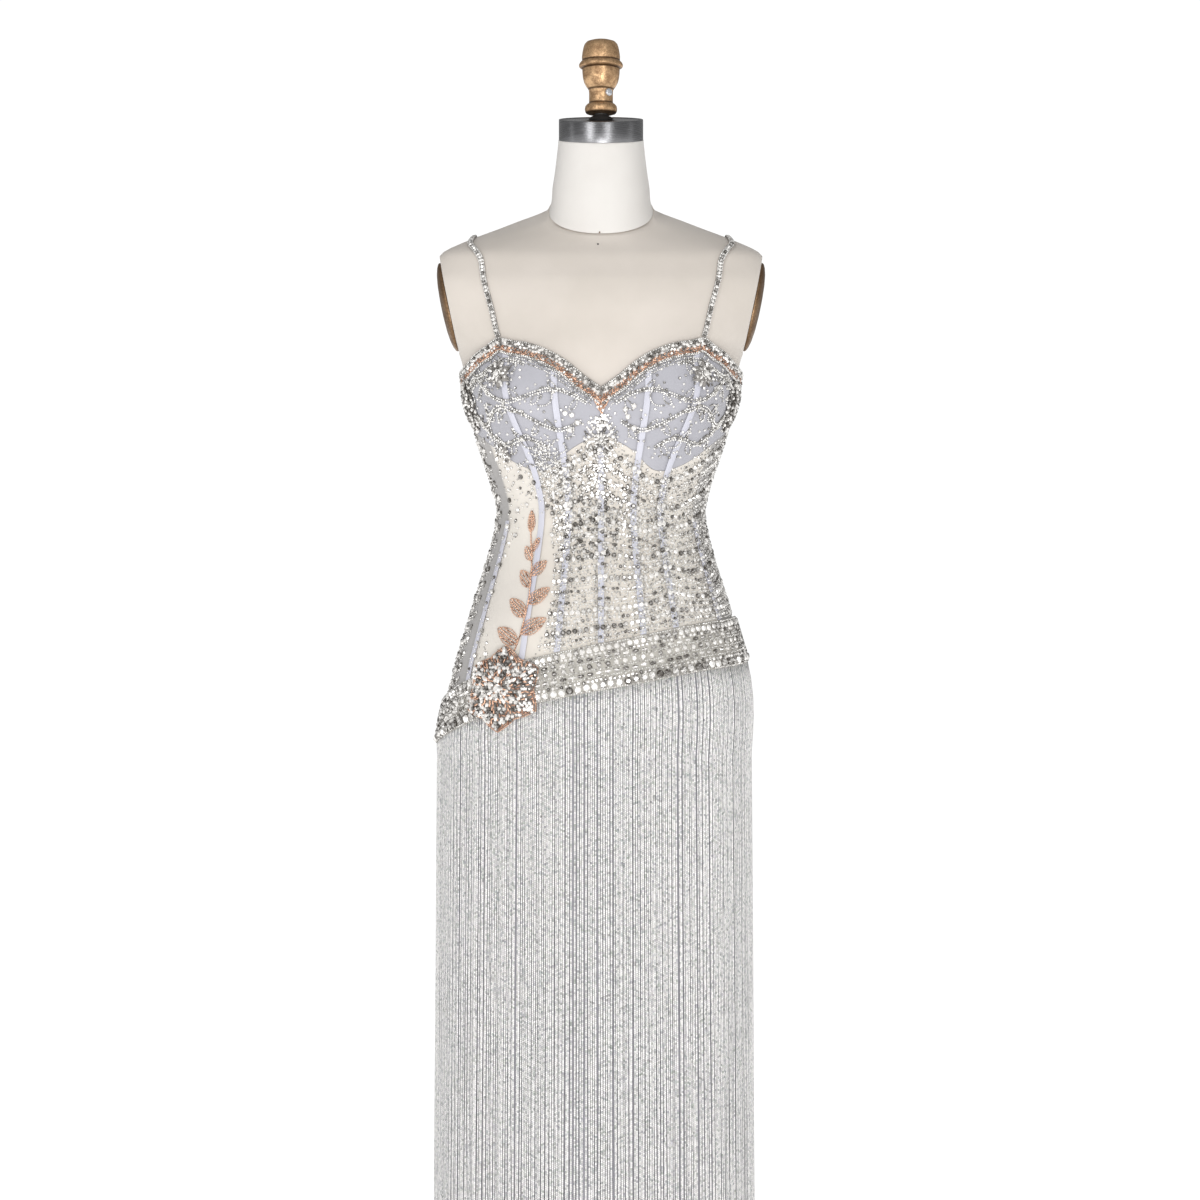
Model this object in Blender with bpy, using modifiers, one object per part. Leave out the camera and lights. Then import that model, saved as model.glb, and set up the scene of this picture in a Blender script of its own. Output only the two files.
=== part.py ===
"""Beaded evening gown with a fringe skirt, worn by a limbless dress form on a stand.

Metres, +Z up. The front faces -Y and +X is the viewer's right. The origin is the
centre of the stand's underside. A turn is an angle round the body in degrees: 0 at
the centre front, +90 at the right side seam and 180 at the centre back.
"""
import math

import bmesh
import bpy
from mathutils import Vector

# Stand and form
BASE_RADIUS = 0.190
HUB_RADIUS = 0.030
HUB_TOP = 0.040
POLE_RADIUS = 0.0125
TORSO_BOTTOM = 0.700
NECK_BASE = 1.4176
NECK_INSET = 0.985
NECK_TOP = 1.504
NECK_TILT = 14.0
CAP_RADIUS = 0.0505
CAP_HEIGHT = 0.025
CAP_EDGE = 0.0015
CAP_CENTRE_Y = -0.007
POST_RADIUS = 0.010
SECTION_ROUNDING = 0.93
FORM_COLUMNS = 40
NECK_COLUMNS = 32

# Bust of the form
BUST_TURN = 31.0
BUST_HEIGHT = 1.190
BUST_RISE = 0.033
BUST_SPREAD_TURN = 17.0
BUST_SPREAD_ABOVE = 0.058
BUST_SPREAD_BELOW = 0.042

# Cloth: a lift is the distance of a surface from the form's skin
FIT_GAP = 0.0003
PANEL_LIFT = 0.0015
PANEL_WALL = 0.0014
OVERLAY_LIFT = 0.0037
SEAM_TURN = 0.10
SEAM_GAP = 0.0006
PANEL_ROW = 0.024
CUP_ROWS = 7
BACK_TOP = 1.224
WAIST = 1.062
PANEL_TUCK = 0.012

# Boning tapes
TAPE_WIDTH = 0.007
TAPE_WALL = 0.0009
TAPE_LIFT = OVERLAY_LIFT + 0.0004
TAPE_ROW = 0.018
TAPE_END = 0.004
INNER_BONE = 16.0
OUTER_BONE_WAIST = 31.0
OUTER_BONE_PEAK = 33.5
HIP_BONE = 60.0
HIP_BONE_TOP = 1.045

# Neckline trim: rows are shares of its width, and row 2 carries the stones
TRIM_WIDTH = 0.018
TRIM_WALL = 0.0014
TRIM_ROWS = (0.0, 0.42, 0.72, 1.0)
TRIM_BEAD_RISE = 0.0005
TRIM_STONE_RISE = 0.0022
TRIM_STONES = 16

# Straps
STRAP_WIDTH = 0.007
STRAP_WALL = 0.0018
STRAP_LIFT = 0.0009
STRAP_STEPS = 22

# Hip band: rows are shares of its height, row 1 carries the large stones and row 3 the small ones
BAND_HEIGHT = 0.054
BAND_WALL = 0.0020
BAND_ROWS = (0.0, 0.11, 0.26, 0.62, 1.0)
BAND_STONES = 30
BAND_STONE_RISE = 0.0030
BAND_ROW_RISE = 0.0012
BROOCH_TURN = -38.0
BROOCH_SEAT_TURN = 18.0
BROOCH_SEAT = 0.0008

# Stone mounds: the notched rim, the raised ring and the crown
RIM_RISE = 0.35
CROWN_RING = 0.55
CROWN_RING_RISE = 0.85

# Skirt: below the fall height the cloth leaves the form and hangs
FALL_HEIGHT = 0.770
FLARE_TOP = 0.870
LEFT_FLARE = 0.016
HEM_HEIGHT = 0.030
LINING_COLUMNS = 22
HEM_SPREAD_SIDE = 0.005
HEM_SPREAD_FRONT = 0.014
FRINGE_STRANDS = 100
FRINGE_END = 0.020
FRINGE_KNEE = 0.838
FRINGE_KNEE_DROP = 0.020
FRINGE_KNEE_LIFT = 0.0008
FRINGE_STRIP = 0.007
FRINGE_WALL = 0.0020
FRINGE_SHARE = 0.66
FRINGE_SWAY = 0.0010

# Form sections: height at the side, half width, depth in front, depth behind, forward tilt
SECTIONS = (
    (0.700, 0.1640, 0.100, 0.104, 0),
    (0.740, 0.1720, 0.107, 0.114, 0),
    (0.785, 0.1765, 0.113, 0.123, 0),
    (0.830, 0.1775, 0.116, 0.128, 0),
    (0.870, 0.1725, 0.117, 0.124, 0),
    (0.905, 0.1625, 0.1155, 0.1165, 0),
    (0.940, 0.1520, 0.112, 0.107, 0),
    (0.970, 0.1425, 0.1065, 0.0985, 0),
    (0.995, 0.1345, 0.1015, 0.093, 0),
    (1.020, 0.1275, 0.097, 0.088, 0),
    (1.040, 0.1230, 0.0935, 0.0845, 0),
    (1.062, 0.1215, 0.0915, 0.083, 0),
    (1.084, 0.1265, 0.0925, 0.085, 0),
    (1.105, 0.1330, 0.0945, 0.089, 0),
    (1.130, 0.1415, 0.097, 0.095, 0),
    (1.160, 0.1505, 0.100, 0.101, 0),
    (1.195, 0.1605, 0.100, 0.106, 0),
    (1.225, 0.1640, 0.101, 0.110, 0),
    (1.250, 0.1715, 0.101, 0.112, 0),
    (1.265, 0.1820, 0.100, 0.112, 0),
    (1.300, 0.1970, 0.096, 0.110, 0),
    (1.330, 0.2050, 0.088, 0.104, 2),
    (1.352, 0.2000, 0.078, 0.094, 5),
    (1.3696, 0.1888, 0.070, 0.082, 8),
    (1.3792, 0.1688, 0.065, 0.077, 13),
    (1.3888, 0.1418, 0.061, 0.073, 18),
    (1.3984, 0.1080, 0.057, 0.069, 23),
    (1.4080, 0.0725, 0.054, 0.063, 28),
    (1.4176, 0.0635, 0.052, 0.057, 33),
    (1.4280, 0.0597, 0.052, 0.054, 30),
    (1.4464, 0.0582, 0.053, 0.049, 25),
    (1.4656, 0.0553, 0.0535, 0.045, 19),
    (1.4848, 0.0530, 0.0540, 0.042, 16),
    (1.5040, 0.0510, 0.0545, 0.040, 14),
)

# Edges of the garment: turn, height
NECKLINE = (
    (0, 1.1985), (6, 1.2126), (12, 1.2284), (18, 1.2398), (25, 1.2482), (31, 1.2518),
    (36.5, 1.2560), (43, 1.2480), (50, 1.2425), (62, 1.2335), (75, 1.2275), (90, 1.2240),
)
UNDERBUST = ((0, 1.1455), (12, 1.1280), (25, 1.1040), (40, 1.1100), (60, 1.1360), (90, 1.1600))
BAND_EDGE = (
    (-180, 0.828), (-135, 0.800), (-90, 0.7816), (-67, 0.797), (-44, 0.8185), (-26, 0.8305),
    (0, 0.8480), (18, 0.8585), (39, 0.8685), (75, 0.8760), (90, 0.8770), (135, 0.862), (180, 0.828),
)

# Strap route: step, turn, height
STRAP_ROUTE = (
    (0, 36.5, 1.2578), (1, 38.4, 1.300), (2, 41.0, 1.340), (3, 46.8, 1.3650), (4, 61.0, 1.3775),
    (5, 90.0, 1.3850), (6, 116.0, 1.3798), (7, 132.0, 1.3655), (8, 138.0, 1.340), (9, 142.0, 1.300),
    (10, 145.0, 1.2250),
)

# Finial profile, from the top down its outer side: radius, height
FINIAL = (
    (0.0000, 1.6240), (0.0110, 1.6236), (0.0180, 1.6204), (0.0205, 1.6160), (0.0222, 1.6090),
    (0.0236, 1.6005), (0.0262, 1.5955), (0.0262, 1.5915), (0.0236, 1.5870), (0.0222, 1.5780),
    (0.0204, 1.5725), (0.0145, 1.5640), (0.0140, 1.5520), (0.0165, 1.5482), (0.0191, 1.5440),
    (0.0193, 1.5400), (0.0182, 1.5362), (0.0000, 1.5350),
)

# Base profile, from the hub's top down its outer side: radius, height
BASE = (
    (0.0, HUB_TOP), (0.8 * HUB_RADIUS, HUB_TOP), (HUB_RADIUS, HUB_TOP - 0.006), (1.15 * HUB_RADIUS, 0.016),
    (0.060, 0.012), (BASE_RADIUS - 0.004, 0.008), (BASE_RADIUS, 0.005), (BASE_RADIUS, 0.0), (0.0, 0.0),
)

# Set screw in the finial's waist
SCREW_RADIUS = 0.0046
SCREW_TAPER = 0.8
SCREW_LENGTH = 0.0026
SCREW_SEAT_RADIUS = 0.0149
SCREW_HEIGHT = 1.5590
SCREW_TURN = 38.0

# Armholes: a flat face leaning outwards
ARMHOLE_X = 0.181
ARMHOLE_LEAN = 0.2056
ARMHOLE_MIDDLE = 1.304
ARMHOLE_BOTTOM = 1.247
ARMHOLE_TOP = 1.400
CUTTER_DEPTH = 0.2
CUTTER_REACH = 0.1

# Armhole plates: an oval dome, its rings as shares of its size and its dome
PLATE_Y = 0.003
PLATE_HALF_HEIGHT = 0.054
PLATE_HALF_DEPTH = 0.041
PLATE_DOME = 0.0105
PLATE_COLUMNS = 28
PLATE_RINGS = ((0.97, 0.03), (1.0, 0.21), (0.86, 0.62), (0.5, 0.93))

# Appliques: name, turn, height, half width, half height, points, notch, crown, layer beneath, under rings
APPLIQUES = (
    ("brooch", BROOCH_TURN, 0.849, 0.047, 0.0490, 6, 0.80, 0.008, "band", 4),
    ("rosette_left", -35.3, 1.212, 0.015, 0.0165, 6, 0.60, 0.004, "tape", 2),
    ("rosette_right", 35.3, 1.212, 0.015, 0.0165, 6, 0.60, 0.004, "tape", 2),
    ("rosette_low", -48, 1.1266, 0.010, 0.013, 6, 0.60, 0.004, "panel", 2),
    ("side_cluster_left", -74, 1.182, 0.012, 0.024, 7, 0.82, 0.005, "panel", 2),
    ("side_cluster_right", 74, 1.182, 0.012, 0.024, 7, 0.82, 0.005, "panel", 2),
)

SIDES = (("left", -1), ("right", 1))


def curve_at(table, key):
    """Value of a smooth curve through a table's rows, at a value of the first column."""
    keys = [row[0] for row in table]
    key = min(max(key, keys[0]), keys[-1])
    i = max(j for j in range(len(keys) - 1) if keys[j] <= key)
    span = keys[i + 1] - keys[i]
    t = (key - keys[i]) / span

    def slope(j, column):
        low, high = max(j - 1, 0), min(j + 1, len(table) - 1)
        return (table[high][column] - table[low][column]) / (keys[high] - keys[low])

    def value(column):
        a, b = table[i][column], table[i + 1][column]
        ma, mb = slope(i, column) * span, slope(i + 1, column) * span
        return (a * (1 + 2 * t) * (1 - t) ** 2 + ma * t * (1 - t) ** 2
                + b * t * t * (3 - 2 * t) + mb * t * t * (t - 1))

    return [value(column) for column in range(1, len(table[0]))]


def smooth_step(low, high, value):
    t = min(max((value - low) / (high - low), 0.0), 1.0)
    return t * t * (3 - 2 * t)


def form_point(turn, height):
    """Point on the form's skin."""
    turn = (turn + 180) % 360 - 180
    half_width, front, back, tilt = curve_at(SECTIONS, height)
    angle = math.radians(turn)
    across, along = math.sin(angle), math.cos(angle)
    x = half_width * math.copysign(abs(across) ** SECTION_ROUNDING, across)
    depth = front if along > 0 else back
    y = -depth * math.copysign(abs(along) ** SECTION_ROUNDING, along)
    reach = BUST_SPREAD_ABOVE if height > BUST_HEIGHT else BUST_SPREAD_BELOW
    rise = BUST_RISE * math.exp(-((height - BUST_HEIGHT) / reach) ** 2 / 2)
    rise *= sum(math.exp(-((turn - side * BUST_TURN) / BUST_SPREAD_TURN) ** 2 / 2) for side in (-1, 1))
    x += rise * across
    y -= rise * along
    return Vector((x, y, height + y * math.tan(math.radians(tilt))))


def form_normal(turn, height):
    half_turn, half_height = 0.5, 0.002
    around = form_point(turn + half_turn, height) - form_point(turn - half_turn, height)
    up = form_point(turn, height + half_height) - form_point(turn, height - half_height)
    return around.cross(up).normalized()


def skin_point(turn, height, lift):
    """Point lifted off the form's skin."""
    return form_point(turn, height) + form_normal(turn, height) * lift


def gown_point(turn, height, lift):
    """Point of the garment: on the form down to the fall height, then hanging."""
    level = max(height, FALL_HEIGHT)
    out = form_normal(turn, level)
    drop = level - height
    if drop > 0:
        out = Vector((out.x, out.y, 0)).normalized()
    angle = math.radians(turn)
    flare = LEFT_FLARE * max(-math.sin(angle), 0) ** 1.5 * (1 - smooth_step(FALL_HEIGHT, FLARE_TOP, level))
    hem = HEM_SPREAD_SIDE + (HEM_SPREAD_FRONT - HEM_SPREAD_SIDE) * math.cos(angle) ** 2
    hang = hem * drop / (FALL_HEIGHT - HEM_HEIGHT)
    return form_point(turn, level) + out * (lift + flare + hang) - Vector((0, 0, drop))


def neckline(turn):
    if abs(turn) > 90:
        return BACK_TOP
    return curve_at(NECKLINE, abs(turn))[0]


def underbust(turn):
    return curve_at(UNDERBUST, min(abs(turn), 90))[0]


def band_edge(turn):
    return curve_at(BAND_EDGE, (turn + 180) % 360 - 180)[0]


def band_top(turn):
    return band_edge(turn) + BAND_HEIGHT


def panel_bottom(turn):
    return band_edge(turn) + PANEL_TUCK


def outer_bone(height):
    """Turn of the bone that runs from the cup's peak to the hip."""
    t = (height - band_top(OUTER_BONE_WAIST)) / (neckline(OUTER_BONE_PEAK) - band_top(OUTER_BONE_WAIST))
    return OUTER_BONE_WAIST + (OUTER_BONE_PEAK - OUTER_BONE_WAIST) * t


def arc_per_degree(turn, height):
    return (form_point(turn + 0.5, height) - form_point(turn - 0.5, height)).length


def material(name, color, roughness, metallic=0.0):
    made = bpy.data.materials.get(name) or bpy.data.materials.new(name)
    made.use_nodes = True
    shader = made.node_tree.nodes["Principled BSDF"]
    shader.inputs["Base Color"].default_value = (*color, 1)
    shader.inputs["Roughness"].default_value = roughness
    shader.inputs["Metallic"].default_value = metallic
    return made


def add_object(name, bm, look, collection, smooth_angle=40):
    bm.normal_update()
    bmesh.ops.recalc_face_normals(bm, faces=bm.faces)
    mesh = bpy.data.meshes.new(name)
    bm.to_mesh(mesh)
    bm.free()
    mesh.materials.append(look)
    mesh.shade_smooth()
    mesh.set_sharp_from_angle(angle=math.radians(smooth_angle))
    made = bpy.data.objects.new(name, mesh)
    collection.objects.link(made)
    return made


def cloth_object(name, bm, look, collection, wall):
    """Open surface with a wall's thickness on its outside."""
    mesh = bpy.data.meshes.new(name)
    bm.to_mesh(mesh)
    bm.free()
    mesh.materials.append(look)
    mesh.shade_smooth()
    made = bpy.data.objects.new(name, mesh)
    collection.objects.link(made)
    thicken = made.modifiers.new("Wall", "SOLIDIFY")
    thicken.thickness = wall
    thicken.offset = 1
    return made


def loft(rings, start_point=None, end_point=None):
    """Closed solid through rings of points; an end is a flat cap or a fan to a point."""
    bm = bmesh.new()
    loops = [[bm.verts.new(p) for p in ring] for ring in rings]
    count = len(rings[0])
    for low, high in zip(loops, loops[1:]):
        for i in range(count):
            j = (i + 1) % count
            bm.faces.new((low[i], low[j], high[j], high[i]))
    for ring, tip in ((loops[0], start_point), (loops[-1], end_point)):
        if tip is None:
            bm.faces.new(ring)
            continue
        centre = bm.verts.new(tip)
        for i in range(count):
            bm.faces.new((ring[i], ring[(i + 1) % count], centre))
    return bm


def spread(stops, cells, column):
    """Value at a column of a grid whose stops have a given number of cells between them."""
    for near, far, count in zip(stops, stops[1:], cells):
        if column <= count:
            return near + (far - near) * column / count
        column -= count
    return stops[-1]


def cloth(name, turns, cells, heights, rows, look, collection, lift=PANEL_LIFT, wall=PANEL_WALL):
    """Cloth wall on the body: a grid laid on the surface, with its thickness outwards.

    turns(height) gives the turns of the upright edges and of the seams that the columns
    follow, cells the number of columns between them, and heights(turn) the two other edges.
    """
    bm = bmesh.new()
    columns = sum(cells)
    bmesh.ops.create_grid(bm, x_segments=columns, y_segments=rows, size=0.5)
    for vert in bm.verts:
        column, v = round((vert.co.x + 0.5) * columns), vert.co.y + 0.5
        height = WAIST
        for _ in range(5):
            turn = spread(turns(height), cells, column)
            low, high = heights(turn)
            height = low + (high - low) * v
        vert.co = gown_point(turn, height, lift)
    return cloth_object(name, bm, look, collection, wall)


def raised_wall(name, place, relief, columns, inner_rows, outer_rows, look, collection):
    """Wall with a plain inside and stones raised in its outer points.

    place(u, v, lift) gives a point, and relief(column, row) the rise of an outer point.
    """
    bm = bmesh.new()
    inner_levels = [k / inner_rows for k in range(inner_rows + 1)]
    inner = [[bm.verts.new(place(c / columns, v, 0)) for v in inner_levels] for c in range(columns + 1)]
    outer = [[bm.verts.new(place(c / columns, v, relief(c, row))) for row, v in enumerate(outer_rows)]
             for c in range(columns + 1)]
    for a, b, c, d in zip(inner, inner[1:], outer, outer[1:]):
        for k in range(len(a) - 1):
            bm.faces.new((a[k], a[k + 1], b[k + 1], b[k]))
        for k in range(len(c) - 1):
            bm.faces.new((c[k], d[k], d[k + 1], c[k + 1]))
        bm.faces.new((a[0], b[0], d[0], c[0]))
        bm.faces.new((a[-1], c[-1], d[-1], b[-1]))
    for near, far in ((inner[0], outer[0]), (inner[-1], outer[-1])):
        bm.faces.new(near + far[::-1])
    return add_object(name, bm, look, collection, 25)


def mound(name, turn, height, half_width, half_height, points, notch, crown, lift, under_rings, look,
          collection):
    """Star of stones on the cloth: a notched rim, a raised ring and a crown."""
    step = arc_per_degree(turn, height)

    def at(angle, share, rise):
        reach = share * (notch if round(angle / math.pi * points) % 2 else 1.0)
        dx = math.sin(angle) * half_width * reach
        dz = math.cos(angle) * half_height * reach
        return gown_point(turn + dx / step, height + dz, lift + rise)

    angles = [math.pi * k / points for k in range(2 * points)]
    under = [((k + 1) / under_rings, 0.0) for k in range(under_rings)]
    over = ((1.0, crown * RIM_RISE), (CROWN_RING, crown * CROWN_RING_RISE))
    rings = [[at(a, share, rise) for a in angles] for share, rise in (*under, *over)]
    bm = loft(rings, gown_point(turn, height, lift), gown_point(turn, height, lift + crown))
    return add_object(name, bm, look, collection, 20)


def turned(name, profile, steps, look, collection):
    """Turned solid: a profile on the XZ plane, spun round the Z axis."""
    bm = bmesh.new()
    verts = [bm.verts.new((radius, 0, height)) for radius, height in profile]
    for a, b in zip(verts, verts[1:]):
        bm.edges.new((a, b))
    mesh = bpy.data.meshes.new(name)
    bm.to_mesh(mesh)
    bm.free()
    mesh.materials.append(look)
    made = bpy.data.objects.new(name, mesh)
    collection.objects.link(made)
    spin = made.modifiers.new("Turn", "SCREW")
    spin.steps = steps
    spin.render_steps = steps
    spin.use_merge_vertices = True
    spin.merge_threshold = 0.0001
    return made


def cylinder(name, radius, low, high, segments, look, collection):
    bm = bmesh.new()
    bmesh.ops.create_cone(bm, cap_ends=True, segments=segments, radius1=radius, radius2=radius,
                          depth=high - low)
    bmesh.ops.translate(bm, verts=bm.verts, vec=(0, 0, (low + high) / 2))
    return add_object(name, bm, look, collection)


def form_ring(height, columns):
    return [form_point(360 * k / columns, height) for k in range(columns)]


def armhole_plane(side):
    """Middle of an armhole's flat face, its direction up the face and its outward normal."""
    up = Vector((ARMHOLE_LEAN * side, 0, 1)).normalized()
    out = Vector((up.z * side, 0, -up.x * side))
    return Vector((ARMHOLE_X * side, 0, ARMHOLE_MIDDLE)), up, out


def cut_armhole(torso, side, cutters):
    """Flat oval face at the armhole, on the plane that carries the plate."""
    middle, up, out = armhole_plane(side)
    bottom = middle + up * ((ARMHOLE_BOTTOM - ARMHOLE_MIDDLE) / up.z)
    top = middle + up * ((ARMHOLE_TOP - ARMHOLE_MIDDLE) / up.z)
    bm = bmesh.new()
    bmesh.ops.create_cube(bm, size=1)
    for vert in bm.verts:
        start = bottom if vert.co.z < 0 else top
        across = CUTTER_REACH if vert.co.x > 0 else 0.0
        vert.co = start + out * across + Vector((0, math.copysign(CUTTER_DEPTH / 2, vert.co.y), 0))
    cutter = add_object(f"armhole_cutter_{'left' if side < 0 else 'right'}", bm,
                        torso.data.materials[0], cutters)
    cutter.hide_render = True
    cutter.display_type = "WIRE"
    cut = torso.modifiers.new("Armhole", "BOOLEAN")
    cut.operation = "DIFFERENCE"
    cut.object = cutter


def make_form(looks, collection, cutters):
    heights = [row[0] for row in SECTIONS]
    torso_heights = [TORSO_BOTTOM] + [h for h in heights if TORSO_BOTTOM < h <= NECK_BASE]
    torso = add_object("form_torso", loft([form_ring(h, FORM_COLUMNS) for h in torso_heights]),
                       looks["linen"], collection)
    for _, side in SIDES:
        cut_armhole(torso, side, cutters)

    neck_heights = [h for h in heights if h > NECK_BASE]
    lift = Vector((0, 0, FIT_GAP))
    first = [p + lift for p in form_ring(NECK_BASE, NECK_COLUMNS)]
    centre = sum(first, Vector()) / len(first)
    first = [centre + (p - centre) * NECK_INSET for p in first]
    add_object("form_neck", loft([first] + [form_ring(h, NECK_COLUMNS) for h in neck_heights]),
               looks["neck_linen"], collection)


def tilted(point):
    """Height added by the forward tilt of the neck's top."""
    return point.y * math.tan(math.radians(NECK_TILT))


def make_cap(looks, collection):
    bm = bmesh.new()
    bmesh.ops.create_cone(bm, cap_ends=True, segments=32, radius1=CAP_RADIUS, radius2=CAP_RADIUS,
                          depth=CAP_HEIGHT)
    for vert in bm.verts:
        vert.co += Vector((0, CAP_CENTRE_Y, NECK_TOP + FIT_GAP + CAP_HEIGHT / 2))
        vert.co.z += tilted(vert.co)
    cap = add_object("form_cap", bm, looks["steel"], collection)
    rounding = cap.modifiers.new("Edge", "BEVEL")
    rounding.width = CAP_EDGE
    rounding.segments = 1


def make_finial(looks, collection):
    turned("finial", FINIAL, 20, looks["gold"], collection)
    cap_top = NECK_TOP + FIT_GAP + CAP_HEIGHT
    post = cylinder("finial_post", POST_RADIUS, cap_top + FIT_GAP, FINIAL[-1][1] - FIT_GAP, 16,
                    looks["steel"], collection)
    middle = (cap_top + FINIAL[-1][1]) / 2
    for vert in post.data.vertices:
        if vert.co.z < middle:
            vert.co.z += tilted(vert.co)

    bm = bmesh.new()
    bmesh.ops.create_cone(bm, cap_ends=True, segments=12, radius1=SCREW_RADIUS,
                          radius2=SCREW_RADIUS * SCREW_TAPER, depth=SCREW_LENGTH)
    turn = math.radians(SCREW_TURN)
    out = Vector((math.sin(turn), -math.cos(turn), 0))
    across = Vector((math.cos(turn), math.sin(turn), 0))
    for vert in bm.verts:
        place = out * (SCREW_SEAT_RADIUS + FIT_GAP + SCREW_LENGTH / 2 + vert.co.z)
        vert.co = place + across * vert.co.x + Vector((0, 0, SCREW_HEIGHT + vert.co.y))
    add_object("finial_screw", bm, looks["zinc"], collection)


def make_arm_plate(label, side, looks, collection):
    centre, up, out = armhole_plane(side)
    centre.y = PLATE_Y
    angles = [2 * math.pi * k / PLATE_COLUMNS for k in range(PLATE_COLUMNS)]

    def ring(share, rise):
        return [centre + up * (PLATE_HALF_HEIGHT * share * math.cos(a))
                + Vector((0, PLATE_HALF_DEPTH * share * math.sin(a), 0)) + out * rise for a in angles]

    rings = [ring(share, PLATE_DOME * rise) for share, rise in PLATE_RINGS]
    bm = loft(rings, None, centre + out * PLATE_DOME)
    add_object(f"arm_plate_{label}", bm, looks["bronze"], collection)


def make_stand(looks, collection):
    turned("stand_base", BASE, 28, looks["black"], collection)
    cylinder("stand_pole", POLE_RADIUS, HUB_TOP + FIT_GAP, TORSO_BOTTOM - FIT_GAP, 16,
             looks["steel"], collection)


def rows_for(low, high, pitch=PANEL_ROW):
    return max(2, round((high - low) / pitch))


def make_panels(looks, collection):
    """Cups, front and back panels of the bodice, with their seams open by a hair."""
    front_rows = rows_for(panel_bottom(0), underbust(0))
    back_rows = rows_for(panel_bottom(180), BACK_TOP)

    def cup_heights(turn):
        return underbust(turn) + SEAM_GAP / 2, neckline(turn)

    def front_heights(turn):
        return panel_bottom(turn), underbust(turn) - SEAM_GAP / 2

    def back_heights(turn):
        return panel_bottom(turn), BACK_TOP

    # Panel: look, the seams that bound its columns, columns between them, its other edges, rows
    panels = {
        "cup": ("lining", lambda h: (0, INNER_BONE, outer_bone(h), 90), (3, 3, 8), cup_heights, CUP_ROWS),
        "front_centre": ("mesh", lambda h: (0, INNER_BONE), (3,), front_heights, front_rows),
        "front_mid": ("mesh", lambda h: (INNER_BONE, outer_bone(h)), (4,), front_heights, front_rows),
        "front_side": ("side_mesh", lambda h: (outer_bone(h), 90), (6,), front_heights, front_rows),
        "back_side": ("side_mesh", lambda h: (90, 135), (5,), back_heights, back_rows),
        "back_centre": ("side_mesh", lambda h: (135, 180), (4,), back_heights, back_rows),
    }
    for part, (look, seams, cells, heights, rows) in panels.items():
        for label, side in SIDES:
            def turns(height, s=side, at=seams):
                stops = list(at(height))
                stops[0] += SEAM_TURN
                stops[-1] -= SEAM_TURN
                return stops if s > 0 else [-stop for stop in reversed(stops)]
            cloth(f"{part}_{label}", turns, cells if side > 0 else cells[::-1], heights, rows,
                  looks[look], collection)


def make_bones(looks, collection):
    """Boning tapes laid on the panels, from the band up to the trim or the waist."""
    def tape(name, route, upper_edge):
        def turns(height):
            middle = route(height)
            half = TAPE_WIDTH / 2 / arc_per_degree(middle, height)
            return middle - half, middle + half

        foot = route(HIP_BONE_TOP)
        rows = rows_for(band_top(foot), upper_edge(foot), TAPE_ROW)
        cloth(name, turns, (1,), lambda turn: (band_top(turn) + 2 * FIT_GAP, upper_edge(turn)),
              rows, looks["tape"], collection, TAPE_LIFT, TAPE_WALL)

    def trim_foot(turn):
        return neckline(turn) - trim_drop(turn) - 2 * FIT_GAP

    tape("bone_centre", lambda height: 0.0, lambda turn: underbust(0) - TAPE_END)
    for label, side in SIDES:
        tape(f"bone_inner_{label}", lambda height, s=side: s * INNER_BONE, trim_foot)
        tape(f"bone_outer_{label}", lambda height, s=side: s * outer_bone(height), trim_foot)
        tape(f"bone_hip_{label}", lambda height, s=side: s * HIP_BONE, lambda turn: HIP_BONE_TOP)


def trim_drop(turn):
    """Upright width of the neckline trim, which is level across its own edge."""
    step = 1.0
    turn = min(max(abs(turn), step), 90 - step)
    rise = neckline(turn + step) - neckline(turn - step)
    run = 2 * step * arc_per_degree(turn, neckline(turn))
    return TRIM_WIDTH * math.hypot(1, rise / run)


def make_trims(looks, collection):
    """Stone trim along the top of each cup, from the centre front to the side seam."""
    def relief(column, row):
        stone = TRIM_STONE_RISE if row == 2 and column % 2 else 0.0
        bead = TRIM_BEAD_RISE if row == 1 else 0.0
        return TRIM_WALL + stone + bead

    for label, side in SIDES:
        def place(u, v, lift, s=side):
            turn = s * (SEAM_TURN + (90 - 2 * SEAM_TURN) * u)
            height = neckline(turn) - trim_drop(turn) * (1 - v)
            return gown_point(turn, height, OVERLAY_LIFT + lift)
        raised_wall(f"neckline_trim_{label}", place, relief, 2 * TRIM_STONES, 2, TRIM_ROWS,
                    looks["stones"], collection)


def make_straps(looks, collection):
    """Narrow beaded strap over each shoulder, from the cup's peak to the back edge."""
    steps = len(STRAP_ROUTE) - 1
    for label, side in SIDES:
        bm = bmesh.new()
        bmesh.ops.create_grid(bm, x_segments=1, y_segments=STRAP_STEPS, size=0.5)
        for vert in bm.verts:
            along = (vert.co.y + 0.5) * steps
            turn, height = curve_at(STRAP_ROUTE, along)
            here = skin_point(side * turn, height, STRAP_LIFT)
            near, far = (curve_at(STRAP_ROUTE, min(max(along + d, 0), steps)) for d in (-0.05, 0.05))
            ahead = (form_point(side * far[0], far[1]) - form_point(side * near[0], near[1])).normalized()
            across = ahead.cross(form_normal(side * turn, height)).normalized()
            vert.co = here + across * (STRAP_WIDTH * vert.co.x)
        cloth_object(f"strap_{label}", bm, looks["stones"], collection, STRAP_WALL)


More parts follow.
